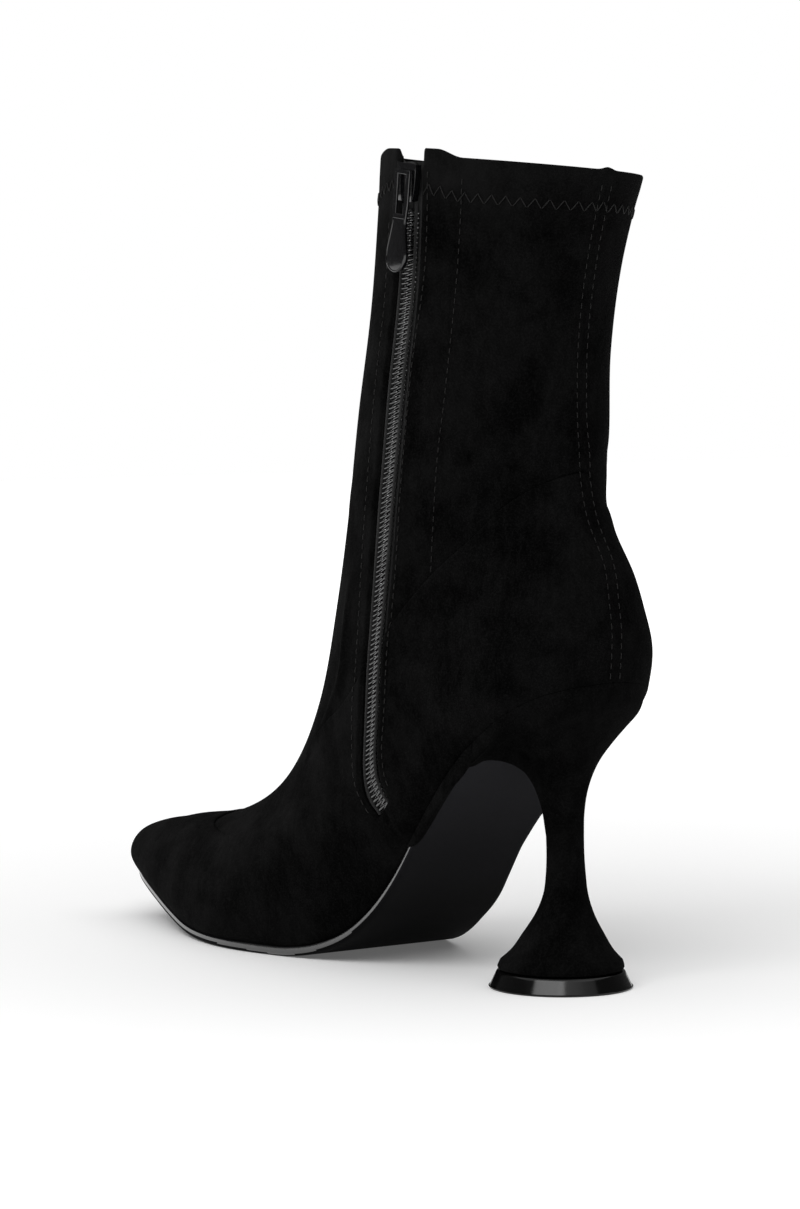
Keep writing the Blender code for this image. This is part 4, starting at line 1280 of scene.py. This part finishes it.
def sheet_grid(angles, outset, steps):
    """Grid of points in plan across a sheet under the foot, and each point's distance from its edge."""
    inner, outer = sole_rim(angles, outset)
    width = np.linalg.norm(inner - outer, axis=1)
    across = edge_places(width, steps)
    grid = inner[:, None, :] * (1 - across[..., None]) + outer[:, None, :] * across[..., None]
    return grid, np.minimum(across, 1 - across) * width[:, None]


def rounding(distance, radius):
    """How far a rounded edge falls away at a distance from the edge."""
    return radius - np.sqrt(radius ** 2 - (radius - np.clip(distance, 0, radius)) ** 2)


def slab_piece(name, top, bottom):
    """A closed sheet between two grids of points."""
    rows, columns = top.shape[:2]
    piece = flat_grid(name, rows, columns)
    give_wall(piece, WORK_WALL)
    row, column, height = grid_places(piece, rows, columns)
    upper_face = height > -WORK_WALL / 2
    place_vertices(piece, np.where(upper_face[:, None], top[row, column], bottom[row, column]))
    face_outwards(piece)
    return piece


insole_angles = np.linspace(INSOLE_TIP, np.pi - INSOLE_TIP, INSOLE_ROWS)
grid, edge_distance = sheet_grid(insole_angles, -INSOLE_INSET, INSOLE_STEPS)
insole_top = grid.copy()
insole_top[..., 2] = lower_edge_z(grid[..., 1]) + INSOLE_THICKNESS - rounding(edge_distance, INSOLE_ROUND)
insole_bottom = grid.copy()
insole_bottom[..., 2] = lower_edge_z(grid[..., 1])
insole = slab_piece("insole_sock", insole_top, insole_bottom)
smooth_faces(insole, degrees=50)
# Smooth coated lining: near black, faintly grained, with a soft low shine
sock, tree, shader = new_finish("black_coated_lining")
place = add_node(tree, "ShaderNodeTexCoord").outputs["Object"]
grain = add_node(tree, "ShaderNodeTexVoronoi", {"Vector": place, "Scale": per_mm(1.2)})
pebble = add_node(tree, "ShaderNodeBump",
                  {"Height": grain.outputs["Distance"], "Strength": 0.3, "Distance": 0.2 * MM})
tint = add_node(tree, "ShaderNodeMix", {"Factor": grain.outputs["Distance"], "A": colour("#141313"),
                                        "B": colour("#201e1d")}, data_type="RGBA")
feed(tree, shader, {"Base Color": tint.outputs["Result"], "Normal": pebble.outputs["Normal"],
                    "Roughness": 0.55})
finish_piece(insole, sock, "boot", "insole_lining", "insole")

# Outsole
# A thin moulded rubber sole is cemented under the upper from the heel's breast to the toe. Its underside
# is matt and finely textured, and its edge is painted gloss black.
HEEL_BREAST = 32.0
SOLE_EDGE = 0.4
SOLE_TIP = 0.03
SEAM = 0.02
SOLE_ROUND = 1.5
SOLE_TOP_ROUND = 0.4
SOLE_ROWS = 130
SOLE_STEPS = [0.0, 0.06, 0.2, 0.45, 0.9, 1.6, 3.0]

# Faces this steep are painted, and flatter ones too near a place along the foot, under the ball
EdgePaint = namedtuple("EdgePaint", "steepness extra place spread")
EDGE_PAINT = EdgePaint(0.10, 0.53, 122.0, 18.0)
PAINT_START = 1.0
sole_angles = np.linspace(angle_at(HEEL_BREAST + GAP), np.pi - SOLE_TIP, SOLE_ROWS)
grid, edge_distance = sheet_grid(sole_angles, SOLE_EDGE, SOLE_STEPS)
sole_top = grid.copy()
sole_top[..., 2] = lower_edge_z(grid[..., 1]) - SEAM - rounding(edge_distance, SOLE_TOP_ROUND)
sole_bottom = grid.copy()
sole_bottom[..., 2] = lower_edge_z(grid[..., 1]) - GAP - SOLE_THICKNESS + rounding(edge_distance, SOLE_ROUND)
outsole = slab_piece("outsole_rubber", sole_top, sole_bottom)
smooth_faces(outsole, degrees=60)
# Moulded rubber: near black, matt, with a fine even grain and a faint random cloud in its tone; painted
# lighter up the waist
rubber, tree, shader = new_finish("moulded_rubber_painted_bounce")
place = add_node(tree, "ShaderNodeTexCoord").outputs["Object"]
grit = add_node(tree, "ShaderNodeTexNoise", {"Vector": place, "Scale": per_mm(0.5), "Detail": 2.0})
cloud = add_node(tree, "ShaderNodeTexNoise", {"Vector": place, "Scale": per_mm(30), "Detail": 3.0})
height = add_node(tree, "ShaderNodeSeparateXYZ", {"Vector": place})
# Painted light: grey rising with height up the waist stands in for light bounced from the floor, darker by
# the floor
waist = add_node(tree, "ShaderNodeMapRange", {"Value": height.outputs["Z"], "From Min": 18 * MM,
                                              "From Max": 70 * MM, "To Min": 0.0, "To Max": 0.85})
shade = add_node(tree, "ShaderNodeMath", {0: cloud.outputs["Fac"], 1: 0.15, 2: waist.outputs["Result"]},
                 operation="MULTIPLY_ADD")
tint = add_node(tree, "ShaderNodeMix", {"Factor": shade.outputs["Value"], "A": colour("#020202"),
                                        "B": colour("#232326")}, data_type="RGBA")
tooth = add_node(tree, "ShaderNodeBump",
                 {"Height": grit.outputs["Fac"], "Strength": 0.25, "Distance": 0.2 * MM})
feed(tree, shader, {"Base Color": tint.outputs["Result"], "Normal": tooth.outputs["Normal"],
                    "Roughness": 0.75, "Specular IOR Level": 0.05})
# Edge dressing: a thick coat of gloss black paint over the sole's side
dressing, tree, shader = new_finish("gloss_black_edge_paint")
place = add_node(tree, "ShaderNodeTexCoord").outputs["Object"]
flow = add_node(tree, "ShaderNodeTexNoise", {"Vector": place, "Scale": per_mm(4.0)})
ripple = add_node(tree, "ShaderNodeBump",
                  {"Height": flow.outputs["Fac"], "Strength": 0.12, "Distance": 0.5 * MM})
feed(tree, shader, {"Normal": ripple.outputs["Normal"], "Base Color": colour("#0c0c0c"), "Roughness": 0.2,
                    "IOR": 2.0, "Coat Weight": 0.5, "Coat Roughness": 0.1})
finish_piece(outsole, rubber, "boot", "outsole_rubber", "outsole")
outsole.data.materials.append(dressing)
for face in outsole.data.polygons:
    place = BOX_CENTRE[1] - face.center.y / MM
    steepest = EDGE_PAINT.steepness + EDGE_PAINT.extra * bump(place - EDGE_PAINT.place, EDGE_PAINT.spread)
    if abs(face.normal.z) < steepest and place > HEEL_BREAST + PAINT_START:
        face.material_index = 1

# Heel
# A moulded plastic spool heel is wrapped in the upper's suede, drawn in under its foot and along the
# seat, and nailed on from inside. Its cover runs out along the sole's edge in two tapered wings.
FLAT_FRONT = 0.8
FRONT_FLARE = (0.35, 0.75)
BREAST_CORNER = 0.75
HEEL_COLUMNS = 112
STEM_ROWS = 30
STEM_START = 1.4
FLARE_HEIGHTS = np.concatenate([np.linspace(0.03, 0.78, 24), np.linspace(0.80, 1.0, 18)])

# Rounded edge of the cover at the heel's foot: change of radius and rise
FootEdge = namedtuple("FootEdge", "radius rise")
FOOT_EDGES = [FootEdge(-1.0, 0.0), FootEdge(-0.1, 0.25), FootEdge(0.15, 0.8)]

# Spool from its foot to its waist, and how far the cover reaches from waist to seat at each share of height
SpoolRow = namedtuple("SpoolRow", "z radius centre")
SPOOL = [
    SpoolRow(5.3, 18.3, 24.0), SpoolRow(7.6, 18.1, 23.8), SpoolRow(10.1, 15.6, 23.4),
    SpoolRow(15.8, 11.8, 22.9), SpoolRow(21.6, 8.5, 22.3), SpoolRow(27.4, 6.5, 21.9),
    SpoolRow(33.1, 5.8, 21.9), SpoolRow(38.9, 5.5, 22.1), SpoolRow(44.0, 5.5, 22.3),
]
FlareRow = namedtuple("FlareRow", "height back front")
FLARE = [
    FlareRow(0.00, 0.000, 0.000), FlareRow(0.14, 0.005, 0.025), FlareRow(0.28, 0.05, 0.052),
    FlareRow(0.40, 0.136, 0.09), FlareRow(0.52, 0.273, 0.15), FlareRow(0.64, 0.48, 0.215),
    FlareRow(0.74, 0.68, 0.31), FlareRow(0.84, 0.88, 0.55), FlareRow(1.00, 1.00, 1.00),
]

# Lip of the cover at the inner end of the breast: its reach and height at each share of the way up
LipRow = namedtuple("LipRow", "way reach height")
LIP = [
    LipRow(0.00, 0.00, 0.00), LipRow(0.40, 0.09, 0.40), LipRow(0.64, 0.215, 0.64), LipRow(0.74, 0.31, 0.74),
    LipRow(0.80, 0.45, 0.815), LipRow(0.85, 0.63, 0.86), LipRow(0.89, 0.80, 0.865), LipRow(0.92, 0.92, 0.84),
    LipRow(0.945, 1.00, 0.80), LipRow(0.965, 1.01, 0.85), LipRow(1.00, 1.00, 1.00),
]
LIP_PLACE = (0.58, 0.71, 0.76, 0.82)
lip_table = np.array(LIP, float)
lip_path = hermite(lip_table[:, 0], lip_table[:, 1:].T)
spool_table = np.array(SPOOL, float)
spool_size = hermite(spool_table[:, 0], spool_table[:, 1:].T)
flare_table = np.array(FLARE, float)
flare_reach = hermite(flare_table[:, 0], flare_table[:, 1:].T)


def spool_ring(radius, centre, z, turns):
    """Round section of the heel with a flat front."""
    forward = np.minimum(-np.cos(turns), FLAT_FRONT) * radius
    return np.stack([np.sin(turns) * radius, centre + forward, np.full(len(turns), z)], -1)


def seat_ring(turns):
    """Top edge of the heel: the sole's edge round the back and a straight breast line in front."""
    corner_turn = BREAST_CORNER * np.pi
    corner = angle_at(HEEL_BREAST)
    signed = np.where(turns > np.pi, turns - 2 * np.pi, turns)
    size = np.abs(signed)
    rim = upper_point(0.0, np.sign(signed) * corner * np.minimum(size / corner_turn, 1))
    rim[:, 0] *= 1 - np.clip((size - corner_turn) / (np.pi - corner_turn), 0, 1)
    rim[:, 2] = lower_edge_z(rim[:, 1]) - SEAM
    return rim


heel_turns = np.arange(HEEL_COLUMNS) / HEEL_COLUMNS * 2 * np.pi
foot = SPOOL[0]
heel_rings = []
for edge in FOOT_EDGES:
    heel_rings.append(spool_ring(foot.radius + edge.radius, foot.centre, foot.z + edge.rise, heel_turns))
for z in np.linspace(foot.z + STEM_START, SPOOL[-1].z, STEM_ROWS):
    heel_rings.append(spool_ring(*spool_size(z), z, heel_turns))
stem = heel_rings[-1]
seat = seat_ring(heel_turns)
forward = 1 - np.abs(np.pi - heel_turns) / np.pi
frontness = smooth(forward, *FRONT_FLARE)
lip = smooth(forward, *LIP_PLACE[:2]) * (1 - smooth(forward, *LIP_PLACE[2:])) * (heel_turns < np.pi)
for height in FLARE_HEIGHTS:
    back, front = flare_reach(height)
    lip_reach, lip_height = lip_path(height)
    reach = back + (front - back) * frontness
    reach += (lip_reach - reach) * lip
    ring = stem + (seat - stem) * reach[:, None]
    ring[:, 2] = stem[:, 2] + (seat[:, 2] - stem[:, 2]) * (height + (lip_height - height) * lip)
    heel_rings.append(ring)


def turned_solid(name, rings):
    """A closed solid through rings of points, from its lowest ring to its highest."""
    grid = np.array(rings)
    piece = rolled_tube(name, HEEL_COLUMNS, len(grid))
    column, row, _ = tube_places(piece, HEEL_COLUMNS, len(grid))
    place_vertices(piece, grid[row, column])
    face_outwards(piece, fill=True)
    return piece


heel = turned_solid("heel_cover", heel_rings)

# Depth of the cover's two wings below the upper's lower edge, along the foot; the outer one is shallower
WingPoint = namedtuple("WingPoint", "f depth")
WING = [
    WingPoint(30, 5.3), WingPoint(33, 6.1), WingPoint(36, 5.8), WingPoint(40, 4.9), WingPoint(45, 4.4),
    WingPoint(50, 4.1), WingPoint(55, 3.7), WingPoint(60, 2.7), WingPoint(63, 0.3),
]
WING_PART = {1: 1.0, -1: 0.5}
WING_OUTSET = 0.45
WING_START = {1: 30.0, -1: 35.0}
WING_EDGE = 0.5
WING_ROOT = 6.0
WING_LEAST = 0.2
WING_ROWS = 40
WING_COLUMNS = 9
WING_FIRST = 0.4
WING_GROWTH = 3.0
WING_ROLL = 0.5
WING_ROLL_POWER = 4
wing_depth = curve_through(WING)
wings = []
for side, part in WING_PART.items():
    wing_f = np.linspace(WING_START[side], WING[-1].f, WING_ROWS)
    depth = np.maximum(wing_depth(wing_f) * part, WING_LEAST)
    across = np.linspace(0, 1, WING_COLUMNS)
    down = np.array([0, 0, 1]) * (depth[:, None] * across)[..., None]
    outsets = (SOLE_EDGE + WING_OUTSET, SOLE_EDGE - WING_EDGE, SOLE_EDGE - WING_ROOT)
    rims = [sole_rim(angle_at(wing_f), outset)[0 if side > 0 else 1] for outset in outsets]
    for rim in rims:
        rim[:, 2] = lower_edge_z(rims[0][:, 1]) - GAP / 2
    face, edge, root = [rim[:, None, :] for rim in rims]
    grown = smooth(wing_f, WING_START[side], WING_START[side] + WING_GROWTH)
    face = edge + (face - edge) * (WING_FIRST + (1 - WING_FIRST) * grown)[:, None, None]
    behind = root + (edge - root) * across[:, None]
    rolled = (edge - face) * (across ** WING_ROLL_POWER)[:, None] * WING_ROLL
    wings.append(slab_piece("heel_wing", face + rolled - down, behind - down))
heel = join("heel_cover", [heel, *wings])
smooth_faces(heel, degrees=50)
heel_suede = microsuede("black_heel_microsuede", "#020202", "#111111")
finish_piece(heel, heel_suede, "boot", "heel_suede", "heel")

# Heel lift
# The top piece is a hard black plastic disc with a flat front, moulded with a flare towards the floor and
# polished. It is pinned under the heel.
LIFT_HEIGHT = 5.0
LIFT_RADII = (21.0, 18.6)
LIFT_CENTRE = 24.0
LIFT_SHARES_UP = np.linspace(0.12, 0.94, 8)
LIFT_FOOT_EDGES = [FootEdge(-0.5, 0.0), FootEdge(-0.15, 0.12), FootEdge(0.0, 0.5)]
LIFT_TOP_EDGES = [FootEdge(-0.1, -0.1), FootEdge(-0.5, 0.0)]
foot_radius, top_radius = LIFT_RADII
lift_rows = [(edge.rise, foot_radius + edge.radius) for edge in LIFT_FOOT_EDGES]
for share_up in LIFT_SHARES_UP:
    lift_rows.append((LIFT_HEIGHT * share_up, foot_radius + (top_radius - foot_radius) * share_up))
lift_rows += [(LIFT_HEIGHT + edge.rise, top_radius + edge.radius) for edge in LIFT_TOP_EDGES]
lift_rings = [spool_ring(radius, LIFT_CENTRE, z, heel_turns) for z, radius in lift_rows]
lift = turned_solid("heel_lift_gloss", lift_rings)
smooth_faces(lift, degrees=40)
# Polished hard plastic: black, mirror smooth, with the faint streaks of its buffing
polish, tree, shader = new_finish("polished_black_plastic")
place = add_node(tree, "ShaderNodeTexCoord").outputs["Object"]
streak_place = add_node(tree, "ShaderNodeMapping", {"Vector": place, "Scale": (1.0, 1.0, 0.08)})
streak = add_node(tree, "ShaderNodeTexNoise",
                  {"Vector": streak_place.outputs["Vector"], "Scale": per_mm(1.2)})
rough = add_node(tree, "ShaderNodeMapRange", {"Value": streak.outputs["Fac"], "To Min": 0.10, "To Max": 0.20})
feed(tree, shader, {"Roughness": rough.outputs["Result"], "Base Color": colour("#050505"), "IOR": 1.37})
finish_piece(lift, polish, "boot", "gloss_lift", "heel_lift")

# Floor and light
# A plain white sweep of paper under soft studio light: a broad overhead light, one box light beside the
# camera, a weaker one behind the boot, and one from the toe's side, in front of a plain white ground.
# The paper also glows, a painted light that is faint by the boot and grows away from it.
FLOOR_SIZE = 6.0
FLOOR_GLOW = (0.10, 0.72)
GLOW_DISTANCE = (0.05, 1.2)
LIGHT_AIM = (0.0, 90.0, 90.0)
OVERHEAD_HEIGHT = 2.0
OVERHEAD_STRENGTH = 1.6
OVERHEAD_SPREAD = math.radians(100.0)
SURROUND_STRENGTH = 0.08
GROUND_STRENGTH = 1.0

# Box lights: degrees from behind the boot, distance and height in millimetres, size in metres, watts
BoxLight = namedtuple("BoxLight", "name turn distance height size power")
KEY_LIGHT = BoxLight("key_light", 64.0, 1500.0, 1450.0, (1.7, 0.9), 22.0)
FILL_LIGHT = BoxLight("fill_light", 6.0, 1500.0, 1450.0, (2.2, 1.0), 3.8)
TOE_LIGHT = BoxLight("toe_light", 160.0, 1700.0, 500.0, (1.4, 1.4), 58.0)
deselect_all()
bpy.ops.mesh.primitive_plane_add(size=FLOOR_SIZE)
floor = bpy.context.object
floor.name = "floor"
# Matt white background paper with a painted glow: its emission is faint by the boot and grows away from it,
# so it fades to white
paper, tree, shader = new_finish("white_paper")
place = add_node(tree, "ShaderNodeTexCoord").outputs["Object"]
away = add_node(tree, "ShaderNodeVectorMath", {0: place}, operation="LENGTH")
glow = add_node(tree, "ShaderNodeMapRange", {"Value": away.outputs["Value"], "From Min": GLOW_DISTANCE[0],
                                             "From Max": GLOW_DISTANCE[1], "To Min": FLOOR_GLOW[0],
                                             "To Max": FLOOR_GLOW[1]})
feed(tree, shader, {"Emission Strength": glow.outputs["Result"], "Emission Color": colour("#ffffff"),
                    "Base Color": colour("#f4f4f4"), "Roughness": 0.9, "Specular IOR Level": 0.1})
floor.data.materials.append(paper)


def add_box_light(box):
    """Adds a soft box light that faces the boot."""
    place = towards_camera(math.radians(box.turn), box.distance, box.height)
    bpy.ops.object.light_add(type="AREA", location=place)
    light = bpy.context.object
    light.name = box.name
    light.rotation_euler = (Vector(world(LIGHT_AIM)) - place).to_track_quat("-Z", "Y").to_euler()
    light.data.shape = "RECTANGLE"
    light.data.size, light.data.size_y = box.size
    light.data.energy = box.power
    return light


add_box_light(KEY_LIGHT)
add_box_light(FILL_LIGHT)
toe_light = add_box_light(TOE_LIGHT)
toe_light.visible_glossy = False
# The paper doesn't take the toe light, so no second shadow falls behind the heel
unlit = bpy.data.collections.new("not_lit_from_the_toe")
unlit.objects.link(floor)
unlit.collection_objects[0].light_linking.link_state = "EXCLUDE"
toe_light.light_linking.receiver_collection = unlit
bpy.ops.object.light_add(type="SUN", location=(0.0, 0.0, OVERHEAD_HEIGHT))
overhead = bpy.context.object
overhead.name = "overhead_light"
overhead.data.energy = OVERHEAD_STRENGTH
overhead.data.angle = OVERHEAD_SPREAD
surround = bpy.data.worlds.new("surround")
surround.use_nodes = True
bpy.context.scene.world = surround
tree = surround.node_tree
ray = add_node(tree, "ShaderNodeLightPath")
ground = add_node(tree, "ShaderNodeMapRange", {"Value": ray.outputs["Is Camera Ray"],
                                               "To Min": SURROUND_STRENGTH, "To Max": GROUND_STRENGTH})
feed(tree, tree.nodes["Background"], {"Color": colour("#ffffff"), "Strength": ground.outputs["Result"]})
bpy.context.scene.view_settings.view_transform = "Standard"
